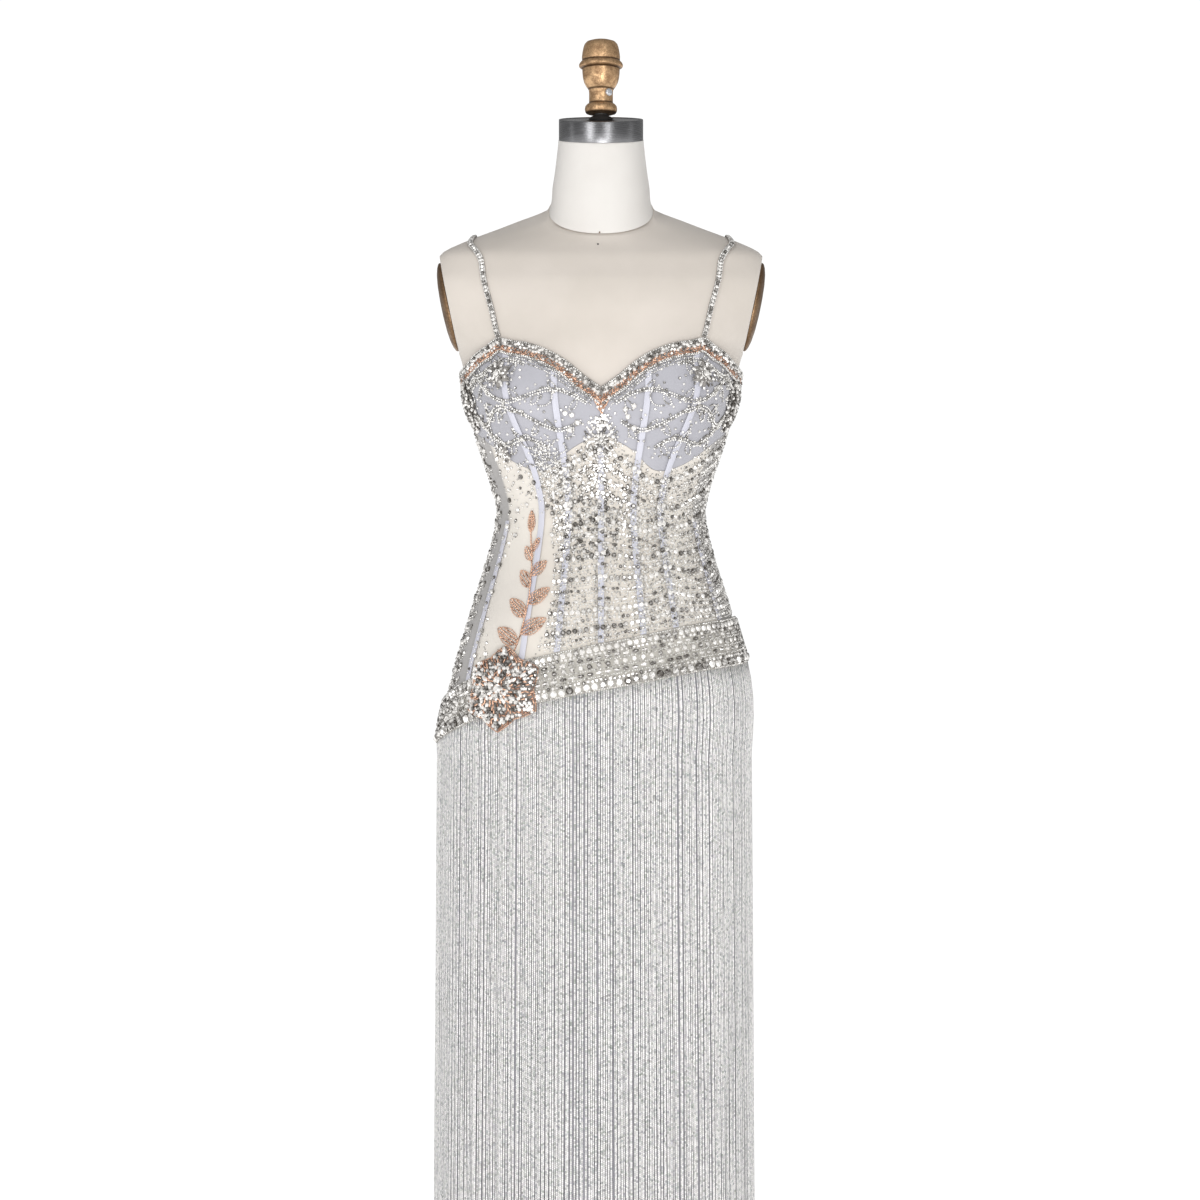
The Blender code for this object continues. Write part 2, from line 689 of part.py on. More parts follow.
def make_band(looks, collection):
    """Slanted hip band of stones, in a front and a back half that meet at the side seams."""
    columns = 2 * BAND_STONES
    for label, middle in (("front", 0), ("back", 180)):
        start = middle - 90 + SEAM_TURN
        sweep = 180 - 2 * SEAM_TURN

        def relief(column, row, s=start, w=sweep):
            turn = (s + w * column / columns + 180) % 360 - 180
            if abs(turn - BROOCH_TURN) < BROOCH_SEAT_TURN:
                return BAND_WALL
            stone = BAND_STONE_RISE if row == 1 and column % 2 else 0.0
            bead = BAND_ROW_RISE if row == 3 and column % 2 else 0.0
            return BAND_WALL + stone + bead

        def place(u, v, lift, s=start, w=sweep):
            turn = s + w * u
            return gown_point(turn, band_edge(turn) + BAND_HEIGHT * v, OVERLAY_LIFT + lift)
        raised_wall(f"hip_band_{label}", place, relief, columns, 3, BAND_ROWS, looks["stones"], collection)


def make_appliques(looks, collection):
    """Brooch, rosettes and side clusters, each seated on the layer beneath it."""
    lifts = {
        "panel": OVERLAY_LIFT,
        "tape": TAPE_LIFT + TAPE_WALL + 2 * FIT_GAP,
        "band": OVERLAY_LIFT + BAND_WALL + BROOCH_SEAT,
    }
    for *shape, layer, under_rings in APPLIQUES:
        mound(*shape, lifts[layer], under_rings, looks["stones"], collection)


def make_lining(looks, collection):
    """Skirt lining: a front and a back half, from under the band to the hem."""
    upper_rows, lower_rows = 3, 2
    rows = upper_rows + lower_rows
    for label, middle in (("front", 0), ("back", 180)):
        edges = (middle - 90 + SEAM_TURN, middle + 90 - SEAM_TURN)
        bm = bmesh.new()
        bmesh.ops.create_grid(bm, x_segments=LINING_COLUMNS, y_segments=rows, size=0.5)
        for vert in bm.verts:
            turn = edges[0] + (edges[1] - edges[0]) * (vert.co.x + 0.5)
            row = round((vert.co.y + 0.5) * rows)
            top = panel_bottom(turn) - FIT_GAP
            if row >= lower_rows:
                height = FALL_HEIGHT + (top - FALL_HEIGHT) * (row - lower_rows) / upper_rows
            else:
                height = HEM_HEIGHT + (FALL_HEIGHT - HEM_HEIGHT) * row / lower_rows
            vert.co = gown_point(turn, height, PANEL_LIFT)
        cloth_object(f"skirt_lining_{label}", bm, looks["skirt"], collection, PANEL_WALL)


def make_fringe(looks, collection):
    """Fringe: strands that hang from a narrow strip under the band's lower edge."""
    pitch = 360 / FRINGE_STRANDS
    turns = []
    for k in range(FRINGE_STRANDS):
        turns += [k * pitch, (k + FRINGE_SHARE) * pitch]

    def root(turn):
        return band_edge(turn) - FRINGE_STRIP

    bm = bmesh.new()
    top = [bm.verts.new(gown_point(t, band_edge(t) - FIT_GAP, OVERLAY_LIFT)) for t in turns]
    outer = [bm.verts.new(gown_point(t, root(t), OVERLAY_LIFT + FRINGE_WALL)) for t in turns]
    inner = [bm.verts.new(gown_point(t, root(t), OVERLAY_LIFT)) for t in turns]
    roots = []
    count = len(turns)
    for i in range(count):
        j = (i + 1) % count
        bm.faces.new((top[i], outer[i], outer[j], top[j]))
        bm.faces.new((top[j], inner[j], inner[i], top[i]))
        foot = bm.faces.new((outer[i], inner[i], inner[j], outer[j]))
        if i % 2 == 0:
            roots.append((foot, turns[i], turns[j]))
    for number, (foot, start, end) in enumerate(roots):
        middle = (start + end) / 2
        sway = FRINGE_SWAY * (1 + math.sin(number * 2.4))
        knee = min(FRINGE_KNEE, root(middle) - FRINGE_KNEE_DROP)
        for end_height, extra in ((knee, FRINGE_KNEE_LIFT), (FRINGE_END, sway)):
            grown = bmesh.ops.extrude_discrete_faces(bm, faces=[foot])["faces"][0]
            for vert in grown.verts:
                near_start = (vert.co - gown_point(start, vert.co.z, OVERLAY_LIFT)).length
                near_end = (vert.co - gown_point(end, vert.co.z, OVERLAY_LIFT)).length
                turn = start if near_start < near_end else end
                flat = gown_point(turn, vert.co.z, OVERLAY_LIFT + FRINGE_WALL / 2)
                outside = Vector((vert.co.x, vert.co.y)).length > Vector((flat.x, flat.y)).length
                lift = OVERLAY_LIFT + extra + (FRINGE_WALL if outside else 0.0)
                vert.co = gown_point(turn, end_height, lift)
            foot = grown
    add_object("fringe", bm, looks["fringe"], collection, 30)


def main():
    for old in list(bpy.data.objects):
        bpy.data.objects.remove(old)
    collection = bpy.data.collections.new("evening_gown")
    cutters = bpy.data.collections.new("cutters")
    for made in (collection, cutters):
        bpy.context.scene.collection.children.link(made)
    looks = {
        "linen": material("cream_linen", (0.78, 0.74, 0.66), 0.85),
        "neck_linen": material("white_linen", (0.84, 0.82, 0.77), 0.85),
        "steel": material("brushed_steel", (0.35, 0.34, 0.35), 0.35, 1.0),
        "zinc": material("zinc", (0.70, 0.70, 0.68), 0.35, 1.0),
        "gold": material("antique_gold", (0.55, 0.42, 0.22), 0.40, 1.0),
        "bronze": material("bronze", (0.33, 0.22, 0.12), 0.45, 1.0),
        "black": material("black_paint", (0.03, 0.03, 0.03), 0.50),
        "lining": material("lavender_lining", (0.60, 0.60, 0.66), 0.60),
        "mesh": material("nude_mesh", (0.80, 0.75, 0.67), 0.70),
        "side_mesh": material("grey_mesh", (0.58, 0.56, 0.54), 0.70),
        "tape": material("boning_tape", (0.72, 0.73, 0.86), 0.60),
        "stones": material("crystal_stones", (0.62, 0.60, 0.57), 0.25, 0.6),
        "skirt": material("skirt_lining", (0.58, 0.57, 0.63), 0.60),
        "fringe": material("silver_fringe", (0.72, 0.71, 0.70), 0.30, 0.7),
    }
    make_form(looks, collection, cutters)
    make_cap(looks, collection)
    make_finial(looks, collection)
    for label, side in SIDES:
        make_arm_plate(label, side, looks, collection)
    make_stand(looks, collection)
    make_panels(looks, collection)
    make_bones(looks, collection)
    make_trims(looks, collection)
    make_straps(looks, collection)
    make_band(looks, collection)
    make_appliques(looks, collection)
    make_lining(looks, collection)
    make_fringe(looks, collection)


main()
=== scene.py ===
"""Looks of a beaded evening gown with a fringe skirt, worn by a limbless dress form.

Metres, +Z up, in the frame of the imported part. The front faces -Y and +X is the viewer's
right. A turn is an angle round the body in degrees: 0 at the centre front, +90 at the right
side seam and 180 at the centre back. A route is a pair of arrays, turns and heights. A seat
is a triple of arrays: points on the cloth, normals there, and directions round the body.
"""
import math

import bpy
import numpy as np
from mathutils import Matrix, Vector


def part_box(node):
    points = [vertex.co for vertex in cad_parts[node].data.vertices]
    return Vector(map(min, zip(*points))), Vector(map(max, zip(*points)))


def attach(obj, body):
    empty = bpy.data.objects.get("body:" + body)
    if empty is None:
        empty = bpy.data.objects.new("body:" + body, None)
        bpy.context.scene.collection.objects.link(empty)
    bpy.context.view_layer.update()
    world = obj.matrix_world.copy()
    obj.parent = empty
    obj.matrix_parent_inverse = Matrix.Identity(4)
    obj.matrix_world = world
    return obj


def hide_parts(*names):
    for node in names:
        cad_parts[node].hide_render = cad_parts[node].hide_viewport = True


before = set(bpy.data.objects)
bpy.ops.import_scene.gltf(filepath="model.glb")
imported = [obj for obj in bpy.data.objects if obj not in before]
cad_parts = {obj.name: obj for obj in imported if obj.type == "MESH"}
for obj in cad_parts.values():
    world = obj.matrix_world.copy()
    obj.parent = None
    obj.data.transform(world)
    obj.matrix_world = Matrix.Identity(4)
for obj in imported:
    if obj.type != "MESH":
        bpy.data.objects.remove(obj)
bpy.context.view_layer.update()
chance = np.random.default_rng(11)

# Camera: level, square to the gown's front
PIXEL = 0.0012
PHOTO_SIDE = 1200
PHOTO_LEFT = -0.7212
PHOTO_TOP = 1.672
CAMERA_DISTANCE = 3.0
SENSOR = 36.0
LIT_POINT = (0, 0, 1.1)

# Form and stand
SECTION_ROUNDING = 0.93
BUST_TURN = 31.0
BUST_HEIGHT = 1.190
BUST_RISE = 0.033
BUST_SPREAD_TURN = 17.0
BUST_SPREAD_ABOVE = 0.058
BUST_SPREAD_BELOW = 0.042
NECK_BASE = 1.4176
NECK_TOP = 1.504
NECK_INSET = 0.985
NECK_TILT = 14.0
FIT_GAP = 0.0003
CAP_CENTRE_Y = -0.007
CAP_FOOT = NECK_TOP + FIT_GAP
CAP_HEIGHT = 0.025
PIN_TURN = -1.2
SCREW_SPIN = 24.0
# Edges between which the chest's evening out grows from none to all: heights, heights, half widths
CHEST_FOOT = (1.325, 1.345)
CHEST_HEAD = (1.410, 1.396)
CHEST_SIDE = (0.150, 0.120)
ARMHOLE_X = 0.181
ARMHOLE_LEAN = 0.2056
ARMHOLE_MIDDLE = 1.304
ARMHOLE_BOTTOM = 1.247
ARMHOLE_TOP = 1.400
PLATE_Y = 0.003
PLATE_HALF_HEIGHT = 0.054
PLATE_HALF_DEPTH = 0.041
PLATE_DOME = 0.0105

# Gown: a lift is the distance of a surface from the form's skin
PANEL_LIFT = 0.0015
PANEL_WALL = 0.0010
OVERLAY_LIFT = 0.0037
TAPE_LIFT = 0.0041
TAPE_WALL = 0.0009
TAPE_WIDTH = 0.007
TAPE_STEP = TAPE_LIFT + TAPE_WALL - OVERLAY_LIFT + 0.0012
SEAM_TURN = 0.10
SEAM_GAP = 0.0006
PANEL_TUCK = 0.012
BACK_TOP = 1.224
WAIST = 1.062
INNER_BONE = 16.0
OUTER_BONE_WAIST = 31.0
OUTER_BONE_PEAK = 33.5
HIP_BONE = 60.0
HIP_BONE_TOP = 1.045
TRIM_WIDTH = 0.018
TRIM_WALL = 0.0010
STRAP_WIDTH = 0.0062
STRAP_LIFT = 0.0009
STRAP_WALL = 0.0008
BAND_HEIGHT = 0.054
BAND_WALL = 0.0014
FALL_HEIGHT = 0.770
FLARE_TOP = 0.870
LEFT_FLARE = 0.016
HEM_HEIGHT = 0.030
HEM_SPREAD_SIDE = 0.005
HEM_SPREAD_FRONT = 0.014
FRINGE_END = 0.020
FRINGE_STRANDS = 440

# Rounds in which a cloth's seams and edges are fitted to each other
EDGE_ROUNDS = 6
# Angle in degrees over which a sheet's edges stay sharp
CLOTH_ANGLE = 50

# Facets of a stone, painted light and dark in place of the light they reflect: share of painted light on
# facets that look up, level between painted light and dark, and scatter of painted glints
PAINTED_TOP_LIGHT = 0.5
PAINTED_LIGHT_LEVEL = 0.42
PAINTED_GLINT = 0.6

# Ornament
BEADS_PER_METRE = 420.0
FLOWER_HEIGHT = 1.1385
STEM_HEIGHT = 1.1760
FROST_TURN = -24.0
FESTOON_STOPS = (-90, -62, -22, 32, 90)
FESTOON_ROWS = 17
# Sag of a festoon in metres to a degree between its stops
FESTOON_SAG = 0.0180 / 54
SPRIG_TURN = -35.0
SPRIG_FOOT = 0.893
SPRIG_RISE = 0.142
BROOCH_TURN = -38.0
BROOCH_HEIGHT = 0.849
BROOCH_HALF_WIDTH = 0.047
BROOCH_HALF_HEIGHT = 0.0490
BROOCH_POINTS = 6
BROOCH_NOTCH = 0.80
BROOCH_CROWN = 0.008

# Girth of a degree of turn in the cloth's UV
GIRTH_PER_DEGREE = 0.0027

# Form sections: height at the side, half width, depth in front, depth behind, forward tilt
SECTIONS = (
    (0.700, 0.1640, 0.100, 0.104, 0),
    (0.740, 0.1720, 0.107, 0.114, 0),
    (0.785, 0.1765, 0.113, 0.123, 0),
    (0.830, 0.1775, 0.116, 0.128, 0),
    (0.870, 0.1725, 0.117, 0.124, 0),
    (0.905, 0.1625, 0.1155, 0.1165, 0),
    (0.940, 0.1520, 0.112, 0.107, 0),
    (0.970, 0.1425, 0.1065, 0.0985, 0),
    (0.995, 0.1345, 0.1015, 0.093, 0),
    (1.020, 0.1275, 0.097, 0.088, 0),
    (1.040, 0.1230, 0.0935, 0.0845, 0),
    (1.062, 0.1215, 0.0915, 0.083, 0),
    (1.084, 0.1265, 0.0925, 0.085, 0),
    (1.105, 0.1330, 0.0945, 0.089, 0),
    (1.130, 0.1415, 0.097, 0.095, 0),
    (1.160, 0.1505, 0.100, 0.101, 0),
    (1.195, 0.1605, 0.100, 0.106, 0),
    (1.225, 0.1640, 0.101, 0.110, 0),
    (1.250, 0.1715, 0.101, 0.112, 0),
    (1.265, 0.1820, 0.100, 0.112, 0),
    (1.300, 0.1970, 0.096, 0.110, 0),
    (1.330, 0.2050, 0.088, 0.104, 2),
    (1.352, 0.2000, 0.078, 0.094, 5),
    (1.3696, 0.1888, 0.070, 0.082, 8),
    (1.3792, 0.1688, 0.065, 0.077, 13),
    (1.3888, 0.1418, 0.061, 0.073, 18),
    (1.3984, 0.1080, 0.057, 0.069, 23),
    (1.4080, 0.0725, 0.054, 0.063, 28),
    (1.4176, 0.0635, 0.052, 0.057, 33),
    (1.4280, 0.0597, 0.052, 0.054, 30),
    (1.4464, 0.0582, 0.053, 0.049, 25),
    (1.4656, 0.0553, 0.0535, 0.045, 19),
    (1.4848, 0.0530, 0.0540, 0.042, 16),
    (1.5040, 0.0510, 0.0545, 0.040, 14),
)

# Edges of the garment: turn, height
NECKLINE = (
    (0, 1.1985), (6, 1.2126), (12, 1.2284), (18, 1.2398), (25, 1.2482), (31, 1.2518),
    (36.5, 1.2560), (43, 1.2480), (50, 1.2425), (62, 1.2335), (75, 1.2275), (90, 1.2240),
)
UNDERBUST = ((0, 1.1455), (12, 1.1280), (25, 1.1040), (40, 1.1100), (60, 1.1360), (90, 1.1600))
BAND_EDGE = (
    (-180, 0.828), (-135, 0.800), (-90, 0.7816), (-67, 0.797), (-44, 0.8185), (-26, 0.8305),
    (0, 0.8480), (18, 0.8585), (39, 0.8685), (75, 0.8760), (90, 0.8770), (135, 0.862), (180, 0.828),
)

# Strap route: step, turn, height
STRAP_ROUTE = (
    (0, 36.5, 1.2578), (1, 38.4, 1.300), (2, 41.0, 1.340), (3, 46.8, 1.3650), (4, 61.0, 1.3775),
    (5, 90.0, 1.3850), (6, 116.0, 1.3798), (7, 132.0, 1.3655), (8, 138.0, 1.340), (9, 142.0, 1.300),
    (10, 145.0, 1.2250),
)

# Finial profile, from its foot up: radius, height
FINIAL = (
    (0.0150, 1.5352), (0.0178, 1.5360), (0.0191, 1.5382), (0.0194, 1.5412), (0.0189, 1.5440),
    (0.0172, 1.5462), (0.0150, 1.5476), (0.0144, 1.5484), (0.0143, 1.5520), (0.0143, 1.5600),
    (0.0146, 1.5634), (0.0156, 1.5652), (0.0182, 1.5688), (0.0203, 1.5730), (0.0216, 1.5780),
    (0.0223, 1.5840), (0.0225, 1.5880), (0.0222, 1.5896), (0.0232, 1.5902), (0.0252, 1.5908),
    (0.0263, 1.5920), (0.0264, 1.5938), (0.0257, 1.5956), (0.0244, 1.5972), (0.0231, 1.5984),
    (0.0225, 1.5992), (0.0228, 1.6004), (0.0229, 1.6040), (0.0221, 1.6100), (0.0210, 1.6150),
    (0.0198, 1.6186), (0.0172, 1.6214), (0.0120, 1.6231), (0.0040, 1.6238),
)
# Heights of the finial's dark grooves
GROOVES = (1.5362, 1.5480, 1.5646, 1.5896, 1.5990)

SIDES = (("left", -1), ("right", 1))
HALVES = (("front", 0.0), ("back", 180.0))


# Surfaces

def value_at(rule, where):
    """Value of a rule that is a number or a function of a place."""
    return rule(where) if callable(rule) else rule


def curve_at(table, keys):
    """Values of the smooth curves through a table's rows, at values of its first column."""
    table = np.asarray(table, float)
    knots = table[:, 0]
    keys = np.clip(np.asarray(keys, float), knots[0], knots[-1])
    at = np.clip(np.searchsorted(knots, keys, side="right") - 1, 0, len(knots) - 2)
    slopes = np.gradient(table, axis=0)
    slopes[1:-1] = (table[2:] - table[:-2]) / (knots[2:] - knots[:-2])[:, None]
    slopes[0] = (table[1] - table[0]) / (knots[1] - knots[0])
    slopes[-1] = (table[-1] - table[-2]) / (knots[-1] - knots[-2])
    span = (knots[at + 1] - knots[at])[..., None]
    t = (keys - knots[at])[..., None] / span
    value = (table[at] * (1 + 2 * t) * (1 - t) ** 2 + slopes[at] * span * t * (1 - t) ** 2
             + table[at + 1] * t * t * (3 - 2 * t) + slopes[at + 1] * span * t * t * (t - 1))
    return np.moveaxis(value[..., 1:], -1, 0)


def smooth_step(low, high, value):
    t = np.clip((value - low) / (high - low), 0.0, 1.0)
    return t * t * (3 - 2 * t)


def unit(vectors):
    return vectors / np.linalg.norm(vectors, axis=-1, keepdims=True)


def power(value, exponent):
    return np.sign(value) * np.abs(value) ** exponent


def form_point(turn, height):
    """Points on the form's skin."""
    turn, height = np.broadcast_arrays(np.asarray(turn, float), np.asarray(height, float))
    turn = (turn + 180) % 360 - 180
    half_width, front, back, tilt = curve_at(SECTIONS, height)
    across, along = np.sin(np.radians(turn)), np.cos(np.radians(turn))
    reach = np.where(height > BUST_HEIGHT, BUST_SPREAD_ABOVE, BUST_SPREAD_BELOW)
    rise = BUST_RISE * np.exp(-((height - BUST_HEIGHT) / reach) ** 2 / 2)
    rise = rise * sum(np.exp(-((turn - side * BUST_TURN) / BUST_SPREAD_TURN) ** 2 / 2) for side in (-1, 1))
    x = half_width * power(across, SECTION_ROUNDING) + rise * across
    y = -np.where(along > 0, front, back) * power(along, SECTION_ROUNDING) - rise * along
    return np.stack((x, y, height + y * np.tan(np.radians(tilt))), -1)


def form_normal(turn, height):
    around = form_point(turn + 0.5, height) - form_point(turn - 0.5, height)
    up = form_point(turn, height + 0.002) - form_point(turn, height - 0.002)
    return unit(np.cross(around, up))


def gown(turn, height, lift=0.0):
    """Points of the garment: on the form down to the fall height, then hanging."""
    turn, height, lift = np.broadcast_arrays(*(np.asarray(a, float) for a in (turn, height, lift)))
    level = np.maximum(height, FALL_HEIGHT)
    drop = level - height
    out = form_normal(turn, level)
    out = np.where((drop > 0)[..., None], unit(out * (1, 1, 0)), out)
    angle = np.radians(turn)
    low_share = 1 - smooth_step(FALL_HEIGHT, FLARE_TOP, level)
    flare = LEFT_FLARE * np.maximum(-np.sin(angle), 0) ** 1.5 * low_share
    hem = HEM_SPREAD_SIDE + (HEM_SPREAD_FRONT - HEM_SPREAD_SIDE) * np.cos(angle) ** 2
    hang = hem * drop / (FALL_HEIGHT - HEM_HEIGHT)
    point = form_point(turn, level) + out * (lift + flare + hang)[..., None]
    point[..., 2] -= drop
    return point


def seat(turn, height, lift=0.0):
    turn, height = np.broadcast_arrays(np.atleast_1d(turn).astype(float), np.asarray(height, float))
    around = gown(turn + 0.5, height, lift) - gown(turn - 0.5, height, lift)
    up = gown(turn, height + 0.002, lift) - gown(turn, height - 0.002, lift)
    return gown(turn, height, lift), unit(np.cross(around, up)), unit(around)


def skin_seat(turn, height, lift):
    """Seats over the shoulders, straight on the form."""
    around = form_point(turn + 0.5, height) - form_point(turn - 0.5, height)
    normal = form_normal(turn, height)
    return form_point(turn, height) + normal * lift, normal, unit(around)


def arc_per_degree(turn, height):
    return np.linalg.norm(form_point(turn + 0.5, height) - form_point(turn - 0.5, height), axis=-1)


def neckline(turn):
    return np.where(np.abs(turn) > 90, BACK_TOP, curve_at(NECKLINE, np.abs(turn))[0])


def underbust(turn):
    return curve_at(UNDERBUST, np.abs(turn))[0]


def band_edge(turn):
    return curve_at(BAND_EDGE, (np.asarray(turn, float) + 180) % 360 - 180)[0]


def band_top(turn):
    return band_edge(turn) + BAND_HEIGHT


def panel_bottom(turn):
    return band_edge(turn) + PANEL_TUCK


def outer_bone(height):
    low, high = band_top(OUTER_BONE_WAIST), neckline(OUTER_BONE_PEAK)
    return OUTER_BONE_WAIST + (OUTER_BONE_PEAK - OUTER_BONE_WAIST) * (height - low) / (high - low)


def below_neckline(turn, width):
    """Height of a line at a width below the neckline, measured square to it."""
    step = 1.0
    near = np.clip(np.abs(turn), step, 90 - step)
    rise = neckline(near + step) - neckline(near - step)
    run = 2 * step * arc_per_degree(near, neckline(near))
    return neckline(turn) - width * np.hypot(1, rise / run)


# Node trees

def node(tree, kind, inputs=(), **settings):
    """Node with its settings, its sockets set to values or linked to other sockets."""
    made = tree.nodes.new("ShaderNode" + kind)
    for key, value in settings.items():
        setattr(made, key, value)
    for key, value in dict(inputs).items():
        socket = made.inputs[key]
        if isinstance(value, bpy.types.NodeSocket):
            tree.links.new(value, socket)
        else:
            opaque = socket.type == "RGBA" and len(value) == 3
            socket.default_value = (*value, 1) if opaque else value
    return made


def calc(tree, operation, *values, clamp=False):
    return node(tree, "Math", dict(enumerate(values)), operation=operation, use_clamp=clamp).outputs[0]


def noise(tree, vector, scale, detail, roughness=0.5):
    inputs = {"Vector": vector, "Scale": scale, "Detail": detail, "Roughness": roughness}
    return node(tree, "TexNoise", inputs).outputs[0]


def remap(tree, value, low, high, start=0.0, end=1.0):
    return node(tree, "MapRange", {0: value, 1: low, 2: high, 3: start, 4: end}).outputs[0]


def mix_colors(tree, factor, first, second, blend_type="MIX"):
    inputs = {0: factor, 6: first, 7: second}
    return node(tree, "Mix", inputs, data_type="RGBA", blend_type=blend_type).outputs[2]


def split(tree, vector):
    return node(tree, "SeparateXYZ", {0: vector}).outputs


def ramp(tree, factor, stops):
    made = node(tree, "ValToRGB", {0: factor})
    elements = made.color_ramp.elements
    while len(elements) < len(stops):
        elements.new(0.5)
    for element, (place, value) in zip(elements, stops):
        element.position = place
        element.color = (value, value, value, 1)
    return made.outputs[0]


def group(name, inputs, outputs, build):
    """Node group whose outputs are what a function builds from its inputs."""
    tree = bpy.data.node_groups.new(name, "ShaderNodeTree")
    for direction, sockets in (("INPUT", inputs), ("OUTPUT", outputs)):
        for label, kind in sockets.items():
            tree.interface.new_socket(name=label, in_out=direction, socket_type="NodeSocket" + kind)
    source = tree.nodes.new("NodeGroupInput").outputs
    result = tree.nodes.new("NodeGroupOutput").inputs
    for label, socket in zip(outputs, build(tree, source)):
        tree.links.new(socket, result[label])
    return tree


def weave(tree, source):
    axes = split(tree, source["Vector"])
    places = [calc(tree, "MULTIPLY", axes[i], source["Threads"]) for i in (0, 1)]
    waves = [calc(tree, "SINE", calc(tree, "MULTIPLY", place, math.pi)) for place in places]
    over = calc(tree, "MULTIPLY_ADD", calc(tree, "MULTIPLY", *waves), 0.5, 0.5)
    warp, weft = (calc(tree, "ABSOLUTE", wave) for wave in waves)
    under = calc(tree, "SUBTRACT", 1.0, over)
    return (calc(tree, "ADD", calc(tree, "MULTIPLY", warp, over), calc(tree, "MULTIPLY", weft, under)),)


def cloudy_tint(tree, source):
    """Slow changes of a cloth's or paint's colour."""
    cloud = remap(tree, noise(tree, source["Vector"], source["Scale"], 4.0), 0.35, 0.65)
    return mix_colors(tree, cloud, source["Color"], source["Tint"]), cloud


def worn_leaf(tree, source):
    """Metal leaf worn through in spots to a darker ground."""
    broad = noise(tree, source["Vector"], source["Scale"], 6.0, 0.65)
    fine = noise(tree, source["Vector"], calc(tree, "MULTIPLY", source["Scale"], 7.0), 3.0)
    mixed = calc(tree, "ADD", calc(tree, "MULTIPLY", broad, 0.6), calc(tree, "MULTIPLY", fine, 0.4))
    spots = remap(tree, mixed, 0.42, 0.58, 0.0, source["Wear"])
    return (mix_colors(tree, spots, source["Metal"], source["Ground"]),
            calc(tree, "MULTIPLY_ADD", spots, 0.35, 0.33), calc(tree, "SUBTRACT", 1.0, spots))


def brushed_lines(tree, source):
    """Metal brushed along one way, its coordinates already stretched along that way."""
    lines = remap(tree, noise(tree, source["Vector"], 1.0, 8.0, 0.7), 0.3, 0.7)
    return (mix_colors(tree, lines, source["Metal"], source["Streak"]),
            calc(tree, "MULTIPLY_ADD", lines, 0.14, 0.20), lines)


def painted_stone_facets(tree, source):
    """Foiled stones' facets, coloured between dark and bright by the painted light, shade and glints that
    each facet carries.
    """
    tone = node(tree, "Attribute", attribute_type="GEOMETRY", attribute_name="tone").outputs["Fac"]
    value = ramp(tree, tone, ((0.0, 0.0), (0.35, 0.12), (0.65, 0.50), (0.92, 1.0)))
    return (mix_colors(tree, value, source["Dark"], source["Bright"]),
            calc(tree, "MULTIPLY_ADD", tone, -0.10, 0.20))


def strung_beads(tree, source):
    """Strung beads: each bead along a strand is painted with light at random, brightest in its middle and
    shaded towards its ends, and has a faint hue and a rounded profile.
    """
    axes = split(tree, source["Vector"])
    place = calc(tree, "MULTIPLY", axes[1], source["Beads"])
    number = calc(tree, "FLOOR", place)
    within = calc(tree, "FRACT", place)
    cell = node(tree, "CombineXYZ", {0: calc(tree, "FLOOR", axes[0]), 1: number})
    drawn = node(tree, "TexWhiteNoise", {0: cell.outputs[0]}, noise_dimensions="3D").outputs
    off_middle = calc(tree, "ABSOLUTE", calc(tree, "MULTIPLY_ADD", within, 2.0, -1.0))
    arch = calc(tree, "SUBTRACT", 1.0, calc(tree, "POWER", off_middle, 3.0))
    # Painted light of each bead, drawn at random and brightest in its middle, between painted shadow and
    # silver
    light = calc(tree, "MULTIPLY", calc(tree, "POWER", drawn["Value"], 0.42),
                 calc(tree, "MULTIPLY_ADD", arch, 0.45, 0.55), clamp=True)
    silver = mix_colors(tree, light, source["Shadow"], source["Silver"])
    return mix_colors(tree, source["Hue"], silver, drawn["Color"], "SOFT_LIGHT"), arch


FINISH = {"Color": "Color", "Roughness": "Float", "Height": "Float"}
WEAVE = group("Plain weave", {"Vector": "Vector", "Threads": "Float"}, {"Height": "Float"}, weave)
TINT = group("Cloudy tint", {"Vector": "Vector", "Scale": "Float", "Color": "Color", "Tint": "Color"},
             {"Color": "Color", "Cloud": "Float"}, cloudy_tint)
WORN = group("Worn metal", {"Vector": "Vector", "Scale": "Float", "Metal": "Color", "Ground": "Color",
                            "Wear": "Float"}, FINISH, worn_leaf)
BRUSHED = group("Brushed metal", {"Vector": "Vector", "Metal": "Color", "Streak": "Color"}, FINISH,
                brushed_lines)
# Stone facets: painted light, shade and glints, read from each facet
PAINTED_FACETS = group("Stone facets", {"Dark": "Color", "Bright": "Color"}, {"Color": "Color", "Roughness": "Float"},
               painted_stone_facets)
STRING = group("Bead string", {"Vector": "Vector", "Beads": "Float", "Silver": "Color", "Shadow": "Color",
                               "Hue": "Float"}, {"Color": "Color", "Height": "Float"}, strung_beads)


# Materials

def use(tree, made_group, inputs):
    return node(tree, "Group", inputs, node_tree=made_group).outputs


def material(name, constants):
    """Material with its shader's constants set, its tree and its shader."""
    made = bpy.data.materials.new(name)
    made.use_nodes = True
    shader = made.node_tree.nodes["Principled BSDF"]
    for key, value in constants.items():
        shader.inputs[key].default_value = value
    return made, made.node_tree, shader


def coordinates(tree, kind, scale=None):
    place = node(tree, "TexCoord").outputs[kind]
    if scale is None:
        return place
    return node(tree, "Mapping", {"Vector": place, "Scale": scale}).outputs[0]


def feed(tree, shader, color, roughness=None, height=None, strength=0.0, distance=0.0):
    """Link a shader's colour, and its roughness and bump where they are given."""
    tree.links.new(color, shader.inputs["Base Color"])
    if roughness is not None:
        tree.links.new(roughness, shader.inputs["Roughness"])
    if height is not None:
        made = node(tree, "Bump", {"Height": height, "Strength": strength, "Distance": distance})
        tree.links.new(made.outputs[0], shader.inputs["Normal"])


def shaded(color, share):
    return tuple(share * part for part in color)


